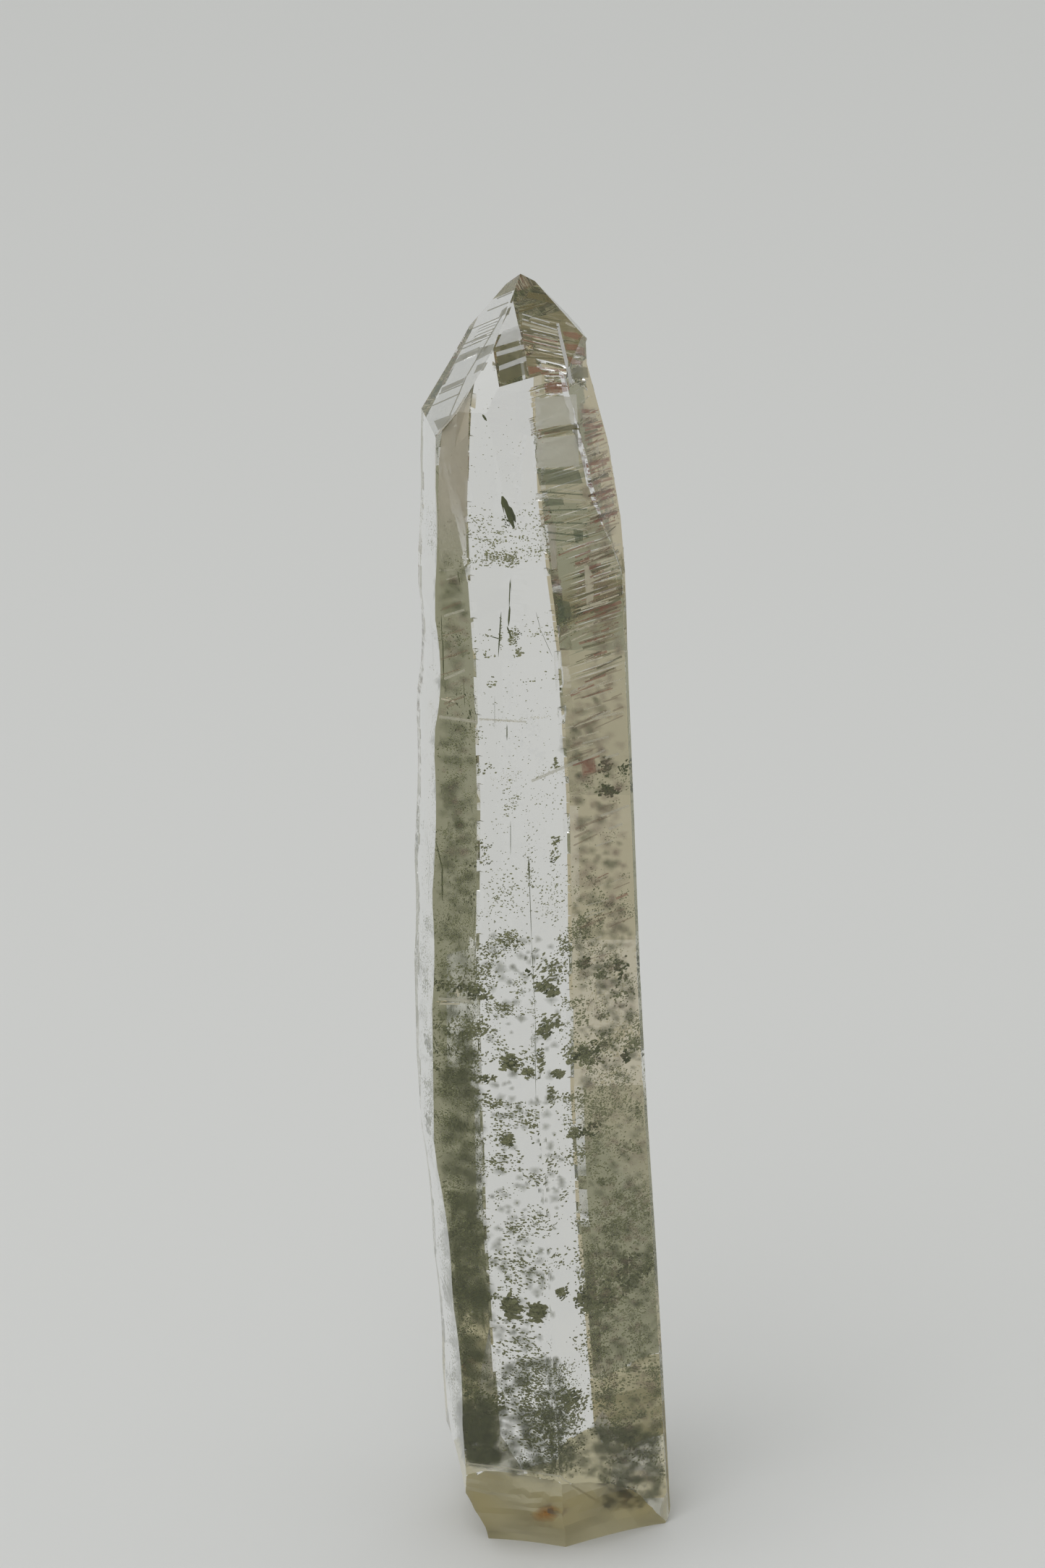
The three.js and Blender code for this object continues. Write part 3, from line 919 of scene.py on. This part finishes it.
# %% Dark cores
# x, y, half width, half height, how many grains, grain size in mm
CORES = [
    (768, 1164, 5, 5, 12, 0.12), (765, 1190, 5, 5, 12, 0.12), (703, 1300, 16, 9, 40, 0.1),
    (749, 1363, 9, 7, 34, 0.16), (764, 1371, 8, 7, 34, 0.18), (752, 1425, 9, 8, 34, 0.18),
    (706, 1471, 9, 8, 46, 0.2), (731, 1484, 6, 5, 20, 0.16), (771, 1484, 8, 5, 26, 0.17),
    (748, 1455, 5, 12, 24, 0.14), (702, 1577, 8, 8, 40, 0.2), (778, 1788, 7, 7, 26, 0.16),
    (706, 1804, 10, 14, 60, 0.22), (744, 1812, 10, 12, 50, 0.22), (790, 1932, 16, 12, 50, 0.16),
    (838, 1060, 11, 13, 60, 0.18), (863, 1063, 9, 11, 44, 0.16), (842, 1092, 17, 9, 70, 0.22),
    (859, 1340, 10, 20, 60, 0.2), (812, 1330, 8, 12, 30, 0.18), (822, 1450, 9, 12, 34, 0.18),
    (866, 1460, 8, 14, 34, 0.18), (820, 1560, 10, 12, 40, 0.18), (700, 1310, 26, 8, 40, 0.08),
    (700, 720, 5, 12, 26, 0.12), (714, 882, 8, 12, 30, 0.09),
]
CORE_STRETCH = 2.2
RIGHT_BAND_FROM = 800
RIGHT_CORE_SHARES, MIDDLE_CORE_SHARES = (0.2, 0.7), (0.75, 0.98)
chance = random.Random(59)
cores = []
for core in CORES:
    shares = RIGHT_CORE_SHARES if core[0] > RIGHT_BAND_FROM else MIDDLE_CORE_SHARES
    cores += drift(core, chance, CORE_STRETCH, shares)
print(len(cores), "grains in the cores")

# %% [markdown]
# Iron stains the growth steps of the shoulder red, and rust sits on the broken foot. Cracks that healed catch the
# light as golden glints and as pale veils. All four are grains again, longer than high, just under the surface.

# %% Streaks, rust, glints and veils
RED_STREAKS = [
    (812, 469, 12, 3, 26, 0.04), (806, 490, 15, 4, 36, 0.045), (770, 512, 18, 3, 24, 0.035),
    (768, 536, 16, 8, 60, 0.045), (830, 573, 9, 3, 20, 0.04), (833, 590, 8, 6, 20, 0.04),
    (768, 596, 22, 3, 22, 0.03), (775, 612, 16, 2, 14, 0.03), (845, 682, 12, 6, 36, 0.05),
    (848, 716, 13, 5, 30, 0.05), (845, 655, 8, 4, 16, 0.04), (815, 1060, 9, 8, 40, 0.07),
    (852, 838, 14, 5, 26, 0.035), (846, 862, 14, 4, 20, 0.035),
]
RUST = [
    (757, 2090, 14, 11, 110, 0.12), (745, 2100, 22, 12, 60, 0.1), (868, 2070, 14, 14, 60, 0.1),
]
GLINTS = [
    (827, 619, 3, 6, 12, 0.09), (836, 628, 6, 3, 10, 0.06), (823, 548, 8, 2, 10, 0.05), (832, 565, 7, 3, 12, 0.05),
    (826, 663, 8, 2, 10, 0.05), (832, 648, 6, 2, 8, 0.05), (817, 806, 4, 17, 60, 0.09),
    (840, 780, 12, 8, 26, 0.045), (846, 800, 10, 6, 16, 0.04), (830, 792, 8, 5, 14, 0.045),
    (836, 826, 10, 6, 16, 0.04), (795, 858, 14, 8, 18, 0.035), (838, 990, 16, 4, 34, 0.06),
    (618, 968, 6, 8, 10, 0.06), (611, 1385, 10, 4, 18, 0.06), (632, 1372, 4, 5, 8, 0.06),
]
VEILS = [
    (768, 1065, 26, 7, 60, 0.05), (750, 1072, 12, 4, 30, 0.05), (786, 1056, 12, 4, 30, 0.05),
    (690, 996, 30, 3, 60, 0.05), (630, 994, 26, 4, 50, 0.06), (700, 778, 30, 6, 20, 0.04),
]
# how much longer than high, and shares of the way through the crystal
red_streaks = drifts(RED_STREAKS, random.Random(61), 5.0, (0.03, 0.25))
rust_grains = drifts(RUST, random.Random(67), 1.6, (0.02, 0.2))
glints = drifts(GLINTS, random.Random(71), 3.0, (0.02, 0.2))
veils = drifts(VEILS, random.Random(73), 2.0, (0.3, 0.6))
print([len(grains) for grains in (red_streaks, rust_grains, glints, veils)], "grains")

# %% [markdown]
# A mineral inside quartz has hardly any gloss, because its index is close to the quartz's own. A low index on its
# shader does that. The glint is a mirror: a crack holds a film of air.

# %% Minerals
MINERAL_INDEX = 1.12


def mineral(name, colour, roughness):
    material = simple_material(name, colour, roughness)
    material.node_tree.nodes["Principled BSDF"].inputs["IOR"].default_value = MINERAL_INDEX
    return material


epidote = mineral("epidote", (0.14, 0.16, 0.05, 1), 0.4)
chlorite = mineral("chlorite", (0.40, 0.41, 0.22, 1), 0.7)
iron = mineral("iron stain", (0.36, 0.15, 0.08, 1), 0.6)
rust = mineral("rust", (0.50, 0.24, 0.06, 1), 0.7)
cream = mineral("healed crack", (0.86, 0.82, 0.60, 1), 0.5)
glint = simple_material("glint", (1.0, 0.86, 0.60, 1), 0.25)
glint.node_tree.nodes["Principled BSDF"].inputs["Metallic"].default_value = 1.0
for name, grains, material, slot in (
    ("green_clouds", green_clouds, chlorite, "chlorite_cloud"),
    ("dark_green_cores", cores, epidote, "epidote"),
    ("side_clouds", side_clouds, chlorite, "chlorite_cloud"),
    ("red_streaks", red_streaks, iron, "iron_stain"),
    ("rust_stain", rust_grains, rust, "iron_stain"),
    ("golden_glints", glints, glint, "healed_crack"),
    ("healed_cracks", veils, cream, "healed_crack"),
):
    joined_grains(name, grains, material)

# %% [markdown]
# Dust and stain also lie in thin layers on growth steps and along healed cracks, and some pale layers are painted
# highlights and painted light. Each layer is a thin sheet just inside the surface, and how much it covers is kept in
# its corners: all over a sheet of stain, and only in the middle of a puff of dust, so that the puff fades out.

# %% Films
FILM_DEPTH = 0.32
FILM_ROUGHNESS = 0.7


def cover_group():
    group = bpy.data.node_groups.new("cover", "ShaderNodeTree")
    group.interface.new_socket("Strength", in_out="INPUT", socket_type="NodeSocketFloat")
    group.interface.new_socket("Alpha", in_out="OUTPUT", socket_type="NodeSocketFloat")
    start, end = group.nodes.new("NodeGroupInput"), group.nodes.new("NodeGroupOutput")
    cover = add_node(group, "Attribute", attribute_name="cover").outputs["Fac"]
    group.links.new(both(group, cover, start.outputs["Strength"]), end.inputs["Alpha"])
    return group


COVER = cover_group()


def film_material(name, colour, strength):
    material = mineral(name, colour, FILM_ROUGHNESS)
    tree = material.node_tree
    cover = add_node(tree, "Group", node_tree=COVER)
    cover.inputs["Strength"].default_value = strength
    tree.links.new(cover.outputs["Alpha"], tree.nodes["Principled BSDF"].inputs["Alpha"])
    return material


print("cover group with", len(COVER.nodes), "nodes")

# %% [markdown]
# A sheet is a fan of triangles round its middle. Its corners lie on lines of sight, at one depth, so it follows the
# faces over it. A line is a row of narrow sheets, short enough to bend with the surface.

# %% Sheets and lines
LINE_PIECE = 9.0


class Sheets:
    """Collects sheets, each a fan of triangles round its middle."""

    def __init__(self):
        self.points, self.faces, self.cover = [], [], []

    def add(self, outline, depth, rim_cover, middle_cover=1.0):
        """rim_cover is one value, or a list of one for each corner."""
        count = len(outline)
        corners = []
        for x, y in [(sum(x for x, _ in outline) / count, sum(y for _, y in outline) / count), *outline]:
            sight = line_of_sight(x, y)
            if sight is None or sight[2] < LEAST_WAY:
                return
            corners.append(sight[0] + sight[1] * min(depth, sight[2] - LEAST_COVER))
        base = len(self.points)
        self.points += corners
        self.cover += [middle_cover] + (rim_cover if isinstance(rim_cover, list) else [rim_cover] * count)
        self.faces += [(base, base + 1 + k, base + 1 + (k + 1) % count) for k in range(count)]

    def add_line(self, start, end, width):
        start, end = Vector(start), Vector(end)
        pieces = max(1, round((end - start).length / LINE_PIECE))
        side = Vector((start.y - end.y, end.x - start.x)).normalized() * (width / 2)
        for n in range(pieces):
            first, last = start.lerp(end, n / pieces), start.lerp(end, (n + 1) / pieces)
            corners = (first - side, last - side, last + side, first + side)
            self.add([tuple(corner) for corner in corners], FILM_DEPTH, 1.0)

    def piece(self, name, colour, strength, slot):
        piece = add_piece(name, self.points, self.faces, film_material(name, colour, strength))
        cover = piece.data.attributes.new("cover", "FLOAT", "POINT")
        cover.data.foreach_set("value", np.array(self.cover, dtype=np.float32))


print("a line is cut into pieces of about", LINE_PIECE, "pixels")

# %% [markdown]
# Olive and green dust lies on single growth steps of the tip, and is seen on edge or through a tip face as stripes
# and small four-sided windows. Each is traced as a sheet or a line.

# %% Olive and green layers
# outlines and lines in pixels of the photograph
OLIVE_SHEETS = [
    [(636, 491), (664, 479), (661, 488), (627, 504)], [(662, 481), (684, 475), (680, 489), (658, 499)],
    [(611, 536), (643, 522), (640, 529), (609, 543)], [(600, 582), (625, 573), (619, 588), (606, 595)],
    [(694, 429), (702, 423), (699, 434), (689, 440)], [(684, 481), (722, 470), (723, 476), (685, 487)],
    [(686, 493), (725, 483), (727, 492), (689, 506)], [(689, 513), (728, 500), (729, 517), (693, 530)],
    [(660, 505), (672, 500), (666, 511), (655, 517)],
    [(720, 452), (745, 458), (771, 464), (772, 470), (745, 464), (722, 459)],
    [(748, 597), (798, 586), (798, 594), (749, 601)], [(800, 506), (812, 508), (814, 522), (792, 524), (790, 512)],
    [(793, 585), (798, 586), (800, 618), (797, 626), (794, 612)],
]
OLIVE_LINES = [
    (687, 413, 708, 404, 1.8), (674, 430, 703, 418, 1.6), (652, 455, 690, 439, 1.3), (642, 476, 673, 463, 1.8),
    (638, 483, 666, 471, 1.6), (607, 545, 640, 531, 1.6), (598, 561, 636, 544, 1.6), (700, 426, 646, 519, 1.5),
    (622, 574, 645, 520, 1.5), (722, 466, 771, 478, 2.2), (723, 473, 772, 484, 1.5), (726, 484, 775, 488, 1.8),
    (727, 494, 777, 496, 2.2), (735, 437, 775, 444, 2.0), (731, 444, 772, 452, 1.6),
]
GREEN_SHEETS = [
    [(742, 648), (800, 650), (806, 668), (746, 671)], [(770, 829), (787, 832), (791, 852), (773, 862)],
    [(752, 690), (778, 688), (780, 698), (754, 700)], [(792, 730), (806, 734), (806, 748), (796, 750)],
]
GREEN_LINES = [
    (746, 680, 806, 684, 2.0), (749, 706, 812, 704, 1.8), (752, 722, 812, 724, 2.2), (756, 736, 814, 742, 2.4),
    (762, 746, 800, 750, 1.8),
]
print(len(OLIVE_SHEETS) + len(GREEN_SHEETS), "sheets and", len(OLIVE_LINES) + len(GREEN_LINES), "lines")

# %% [markdown]
# Iron lies on the steps of the right side in the same way. Pale lines are cracks that healed, but the three along
# # the broken edge of the foot are a painted highlight.

# %% Red and pale layers
RED_SHEETS = [
    [(778, 458), (798, 460), (806, 467), (798, 470), (780, 464)], [(781, 475), (808, 481), (809, 493), (783, 484)],
    [(784, 493), (807, 500), (803, 505), (788, 502)], [(753, 530), (782, 529), (785, 541), (768, 545), (754, 543)],
    [(803, 565), (826, 567), (825, 571), (805, 571)], [(730, 506), (744, 508), (751, 513), (732, 518)],
    [(803, 1051), (822, 1048), (825, 1068), (806, 1073)],
]
RED_LINES = [
    (724, 462, 771, 473, 1.8), (724, 470, 772, 481, 1.5), (740, 508, 783, 512, 1.6), (748, 516, 784, 520, 1.6),
    (750, 612, 795, 617, 2.2), (752, 600, 775, 596, 2.6), (818, 694, 850, 684, 4.0), (822, 689, 850, 676, 3.0),
    (822, 722, 853, 708, 4.5), (828, 728, 851, 719, 2.0), (806, 588, 830, 590, 4.5), (772, 768, 822, 748, 2.0),
    (822, 846, 859, 832, 4.5), (826, 854, 858, 844, 2.5), (795, 862, 840, 846, 2.0),
]
# the three lines from (644, 2023) to (828, 2077) are a painted highlight on the foot's broken edge; the rest are
# healed cracks
CRACK_AND_HIGHLIGHT_LINES = [
    (722, 447, 772, 460, 3.5), (723, 461, 772, 471, 1.2), (733, 440, 772, 447, 1.4), (782, 446, 803, 456, 3.0),
    (782, 487, 807, 495, 2.0), (796, 531, 813, 525, 1.5), (735, 1080, 800, 1052, 4.0), (662, 994, 728, 998, 2.5),
    (607, 991, 660, 998, 4.0), (644, 2023, 700, 2030, 2.5), (700, 2030, 772, 2041, 2.5),
    (772, 2041, 828, 2077, 3.0), (606, 1381, 650, 1384, 4.0), (758, 674, 805, 680, 1.6), (756, 688, 810, 692, 1.6),
    (760, 711, 812, 712, 1.8), (762, 728, 812, 733, 1.8), (766, 757, 818, 752, 1.6),
]
print(len(RED_SHEETS), "sheets and", len(RED_LINES) + len(CRACK_AND_HIGHLIGHT_LINES), "lines")

# %% [markdown]
# White stripes on the tip are painted highlights, white sheets and lines where the tip shines. Two pale windows come
# from healed cracks that lie along a face. The soft haze over the left band is painted light, a pale sheet that makes
# the top of the band lighter; it fades out downwards, so it has its cover given corner by corner.

# %% White highlights, pale windows and haze
# painted highlights: white sheets and lines for the bright stripes of the tip
WHITE_HIGHLIGHT_SHEETS = [
    [(690, 458), (717, 450), (722, 469), (685, 480)], [(686, 487), (724, 476), (725, 482), (687, 493)],
    [(690, 506), (727, 492), (728, 499), (690, 513)],
]
WHITE_HIGHLIGHT_LINES = [
    (771, 447, 776, 470, 4.0), (776, 470, 783, 500, 5.0), (783, 500, 790, 530, 5.0), (722, 434, 760, 446, 1.6),
    (722, 441, 770, 456, 1.8), (724, 457, 771, 468, 1.4),
]
VEIL_SHEETS = [
    [(740, 551), (797, 545), (799, 584), (741, 595)], [(742, 607), (797, 601), (801, 645), (743, 647)],
]
# outline and how much the haze covers at each of its corners; it is painted light, pale sheets that lighten the top
# of
# # the left band and one small patch further right
LIGHTENING_HAZE_SHEETS = [
    ([(611, 598), (632, 572), (652, 541), (648, 600), (646, 690), (606, 690), (607, 640)], [1.0] * 7),
    ([(606, 690), (646, 690), (645, 800), (607, 800)], [1.0, 1.0, 0.0, 0.0]),
    ([(757, 726), (768, 724), (770, 785), (763, 788)], [1.0] * 4),
]
LIGHTENING_HAZE_DEPTH = 0.8
print(len(WHITE_HIGHLIGHT_SHEETS) + len(VEIL_SHEETS) + len(LIGHTENING_HAZE_SHEETS), "pale sheets")

# %% [markdown]
# Golden sheets are painted highlights, pale sheets where the same cracks glint. One rust patch lies on the broken
# foot.

# %% Painted glints and rust
# painted highlights: pale sheets and lines where the cracks glint
PAINTED_GLINT_SHEETS = [
    [(808, 783), (813, 781), (821, 800), (821, 834), (811, 836), (809, 806)],
    [(805, 574), (825, 572), (824, 577), (806, 580)], [(823, 612), (828, 612), (829, 628), (824, 628)],
    [(834, 624), (844, 622), (844, 628), (835, 631)], [(822, 660), (832, 662), (831, 666), (822, 665)],
    [(815, 641), (828, 643), (828, 646), (815, 645)],
]
PAINTED_GLINT_LINES = [
    (824, 568, 828, 572, 3.0), (811, 620, 822, 616, 2.0), (838, 605, 852, 600, 2.0), (836, 760, 858, 752, 2.0),
    (826, 778, 850, 770, 3.0), (830, 790, 856, 780, 2.5), (832, 804, 858, 796, 2.0), (830, 822, 852, 814, 2.0),
    (812, 866, 832, 858, 3.0), (796, 872, 820, 862, 2.5), (790, 886, 812, 876, 2.0), (776, 880, 800, 868, 1.6),
    (822, 994, 852, 986, 3.0), (814, 990, 836, 984, 2.0), (610, 966, 628, 970, 2.5), (608, 1388, 636, 1388, 2.5),
    (632, 1368, 634, 1378, 3.0), (776, 964, 862, 938, 1.4), (778, 1008, 862, 984, 1.4), (782, 1040, 820, 1028, 1.4),
]
RUST_SHEETS = [[(733, 2094), (746, 2084), (768, 2081), (778, 2090), (765, 2104), (742, 2104)]]
RUST_OUTSIDE = -0.02
print(len(PAINTED_GLINT_SHEETS), "golden sheets and", len(PAINTED_GLINT_LINES), "lines")

# %% [markdown]
# The right side is combed with fine slanting streaks, too many to trace. They are strewn by chance, each colour in
# the stretches where the photograph has it.

# %% Streaks
# left and right edge at the top and at the foot, top and foot in y, and for each colour how many streaks
STREAK_BANDS = [
    ((806, 830), (817, 858), (565, 740), {"red_films": 16, "brown_films": 34, "painted_glint_films": 12, "olive_films": 8}),
    ((792, 860), (796, 864), (740, 940), {"red_films": 12, "brown_films": 44, "painted_glint_films": 16, "olive_films": 14}),
    ((782, 864), (786, 868), (940, 1060), {"red_films": 5, "brown_films": 18, "painted_glint_films": 4, "crack_and_highlight_films": 8}),
    ((788, 868), (800, 876), (1060, 1330), {"red_films": 2, "brown_films": 12, "crack_and_highlight_films": 8}),
    ((612, 648), (608, 646), (780, 980), {"brown_films": 8, "crack_and_highlight_films": 3}),
]
STREAK_SLOPE = (-0.5, -0.25)
STREAK_LONG = (10, 44)
STREAK_WIDE = (1.0, 3.6)
# the golden streaks are painted highlights, narrower than the rest
GLINT_NARROWER = 0.6


def make_streak_lines(name, chance):
    lines = []
    for (left_top, right_top), (left_foot, right_foot), (top, foot), counts in STREAK_BANDS:
        for _ in range(counts.get(name, 0)):
            down = chance.uniform(0, 1)
            y = top + (foot - top) * down
            left = left_top + (left_foot - left_top) * down
            right = right_top + (right_foot - right_top) * down
            long = min(chance.uniform(*STREAK_LONG), right - left)
            x = chance.uniform(left, right - long)
            slope = chance.uniform(*STREAK_SLOPE)
            width = chance.uniform(*STREAK_WIDE) * (GLINT_NARROWER if name == "painted_glint_films" else 1)
            lines.append((x, y, x + long, y + slope * long, width))
    return lines


print("streaks in", len(STREAK_BANDS), "stretches, sloping", STREAK_SLOPE)

# %% [markdown]
# Each colour of layer becomes one piece with one material, whose cover comes from the shared group.

# %% All the films
# name, sheets, lines, colour, strength, slot
FILMS = [
    ("olive_films", OLIVE_SHEETS, OLIVE_LINES, (0.27, 0.25, 0.12, 1), 0.78, "chlorite_cloud"),
    ("green_films", GREEN_SHEETS, GREEN_LINES, (0.14, 0.19, 0.09, 1), 0.7, "epidote"),
    ("red_films", RED_SHEETS, RED_LINES, (0.50, 0.20, 0.12, 1), 0.62, "iron_stain"),
    # healed cracks, and a painted highlight along the broken edge of the foot
    ("crack_and_highlight_films", [], CRACK_AND_HIGHLIGHT_LINES, (0.98, 0.94, 0.78, 1), 0.6, "healed_crack"),
    ("veil_films", VEIL_SHEETS, [], (1.0, 0.98, 0.86, 1), 0.9, "healed_crack"),
    # painted highlights: white stripes of the tip
    ("white_highlight_films", WHITE_HIGHLIGHT_SHEETS, WHITE_HIGHLIGHT_LINES, (1.0, 1.0, 0.98, 1), 0.95, "healed_crack"),
    ("brown_films", [], [], (0.42, 0.30, 0.18, 1), 0.5, "iron_stain"),
    # painted light: pale haze that makes the top of the left band lighter
    ("painted_light_haze", [], [], (0.78, 0.72, 0.58, 1), 0.88, "chlorite_cloud"),
    # painted highlights: pale golden sheets and streaks where the cracks glint
    ("painted_glint_films", PAINTED_GLINT_SHEETS, PAINTED_GLINT_LINES, (1.0, 0.93, 0.72, 1), 0.95, "healed_crack"),
    ("rust_patch", RUST_SHEETS, [], (0.36, 0.17, 0.05, 1), 0.8, "iron_stain"),
]
RIM_COVER, RIM_COVERS = 0.85, {"painted_glint_films": 0.8, "rust_patch": 0.15}
chance = random.Random(97)
for name, sheets, lines, colour, strength, slot in FILMS:
    made = Sheets()
    for outline in sheets:
        depth = RUST_OUTSIDE if name == "rust_patch" else FILM_DEPTH
        made.add(outline, depth, RIM_COVERS.get(name, RIM_COVER))
    for outline, cover in LIGHTENING_HAZE_SHEETS if name == "painted_light_haze" else ():
        made.add(outline, LIGHTENING_HAZE_DEPTH, cover, sum(cover) / len(cover))
    for x, y, end_x, end_y, width in lines + make_streak_lines(name, chance):
        made.add_line((x, y), (end_x, end_y), width)
    made.piece(name, colour, strength, slot)

# %% [markdown]
# Between the grains the dust is too fine to see as grains. A puff is a sheet that covers in its middle and fades to
# its rim, and hundreds of them at different depths add up to a cloud, green or brown.

# %% Dust
# middle at the top and foot in x, half width, top and foot in y, puffs, least and most size in pixels
DUST_BANDS = [
    ((630, 632), 22, (1000, 1500), 105, 8, 22), ((632, 650), 24, (1450, 1880), 240, 8, 22),
    ((650, 664), 24, (1850, 2022), 130, 8, 20), ((656, 666), 22, (1940, 2022), 130, 8, 16),
    ((760, 770), 50, (1985, 2040), 60, 6, 14), ((800, 812), 30, (960, 1060), 26, 6, 16),
    ((822, 830), 30, (1040, 1260), 50, 6, 16), ((840, 856), 46, (1240, 1760), 180, 5, 14),
    ((840, 848), 42, (1290, 1480), 90, 6, 14), ((856, 876), 46, (1700, 2000), 130, 6, 16),
    ((866, 884), 46, (1975, 2085), 300, 6, 16), ((700, 770), 60, (1945, 2040), 170, 6, 14),
    ((664, 668), 22, (1985, 2026), 90, 6, 12), ((730, 770), 40, (1880, 2030), 120, 6, 16),
    ((720, 730), 50, (1290, 1700), 160, 5, 12), ((716, 726), 40, (1700, 1990), 120, 5, 13),
    ((625, 628), 18, (760, 960), 34, 8, 20),
]
BROWN_BANDS = [
    ((824, 832), 34, (940, 1290), 150, 6, 16), ((842, 872), 44, (1270, 2060), 260, 5, 13),
    ((629, 627), 18, (800, 1180), 40, 6, 14), ((818, 840), 18, (560, 940), 110, 6, 14),
]
DUST_DEPTH = (0.3, 1.6)
PUFF_CORNERS = 8
PUFF_REACH = (0.6, 1.1)
PUFF_FLATTER = 0.8


def make_dust(name, bands, colour, strength, slot):
    chance = random.Random(83)
    puffs = Sheets()
    for *band, count, least, most in bands:
        for _ in range(count):
            x, y = place_in_band(band, chance)
            size = chance.uniform(least, most)
            outline = []
            for corner in range(PUFF_CORNERS):
                turn = 2 * math.pi * (corner + chance.uniform(-CORNER_UNEVEN, CORNER_UNEVEN)) / PUFF_CORNERS
                reach = size * chance.uniform(*PUFF_REACH)
                outline.append((x + reach * math.cos(turn), y + PUFF_FLATTER * reach * math.sin(turn)))
            puffs.add(outline, chance.uniform(*DUST_DEPTH), 0.0)
    puffs.piece(name, colour, strength, slot)


make_dust("dust", DUST_BANDS, (0.19, 0.205, 0.08, 1), 0.56, "chlorite_cloud")
make_dust("brown_dust", BROWN_BANDS, (0.42, 0.31, 0.22, 1), 0.4, "iron_stain")

# %% [markdown]
# A few of the green grains are large enough to show as crystals: thin six-sided blades of epidote, longer than
# wide, pointed by slanting faces at the ends. Four more, 2 mm deep, are thin dark lines along the left face.

# %% Blades
# x and y of one end and the other, width and depth in mm
BLADES = [
    (695, 686, 711, 731, 0.42, 0.14), (704, 700, 713, 722, 0.3, 0.14), (667, 573, 673, 582, 0.16, 0.06),
    (706, 800, 704, 842, 0.07, 0.06), (705, 838, 703, 866, 0.13, 0.06), (693, 846, 689, 908, 0.09, 0.06),
    (679, 880, 693, 884, 0.07, 0.06), (701, 866, 708, 884, 0.12, 0.06), (701, 1002, 701, 1024, 0.07, 0.06),
    # the four with a depth of 2 mm are thin dark lines along the left face
    (741, 846, 748, 872, 0.03, 0.06), (748, 872, 764, 908, 0.03, 0.06), (597, 872, 599, 930, 0.08, 2.0),
    (594, 845, 597, 880, 0.05, 2.0), (590, 1150, 595, 1200, 0.09, 2.0), (594, 1190, 593, 1240, 0.1, 2.0),
    (706, 1135, 706, 1182, 0.04, 0.06), (684, 962, 684, 1008, 0.02, 0.06), (731, 1186, 732, 1216, 0.1, 0.06),
    (732, 1214, 735, 1300, 0.05, 0.06), (735, 1300, 740, 1400, 0.04, 0.06), (740, 1400, 741, 1520, 0.035, 0.06),
]
BLADE_SIDES = 6
# share of the length and of the width at each ring of points
BLADE_RINGS = ((0, 0.15), (0.18, 0.9), (0.7, 1.0), (1, 0.2))
BLADE_FLATTER = 5


def blade_points(start, end, width):
    along = (end - start).normalized()
    side = along.cross(FORWARD).normalized()
    out = side.cross(along).normalized()
    points = []
    for share, scale in BLADE_RINGS:
        middle = start.lerp(end, share)
        for corner in range(BLADE_SIDES):
            turn = 2 * math.pi * corner / BLADE_SIDES
            across, thick = math.cos(turn) * width / 2, math.sin(turn) * width / BLADE_FLATTER
            points.append(middle + side * (across * scale) + out * (thick * scale))
    return points


points, faces = [], []
for x, y, end_x, end_y, width, depth in BLADES:
    sights = line_of_sight(x, y), line_of_sight(end_x, end_y)
    depth = min(depth, *(sight[2] / 2 for sight in sights))
    base = len(points)
    points += blade_points(*(near + within * depth for near, within, _, _ in sights), width)
    ring = list(range(base, base + BLADE_SIDES))
    for low in range(0, BLADE_SIDES * (len(BLADE_RINGS) - 1), BLADE_SIDES):
        for k, after in zip(ring, ring[1:] + ring[:1]):
            faces.append((low + k, low + after, low + after + BLADE_SIDES, low + k + BLADE_SIDES))
    top = BLADE_SIDES * (len(BLADE_RINGS) - 1)
    faces += [tuple(reversed(ring)), tuple(top + k for k in ring)]
add_piece("epidote_blades", points, faces, epidote)

# %% The sizes and the end
print("cad", [round(v / MM, 3) for v in (*cad_low, *cad_high)])
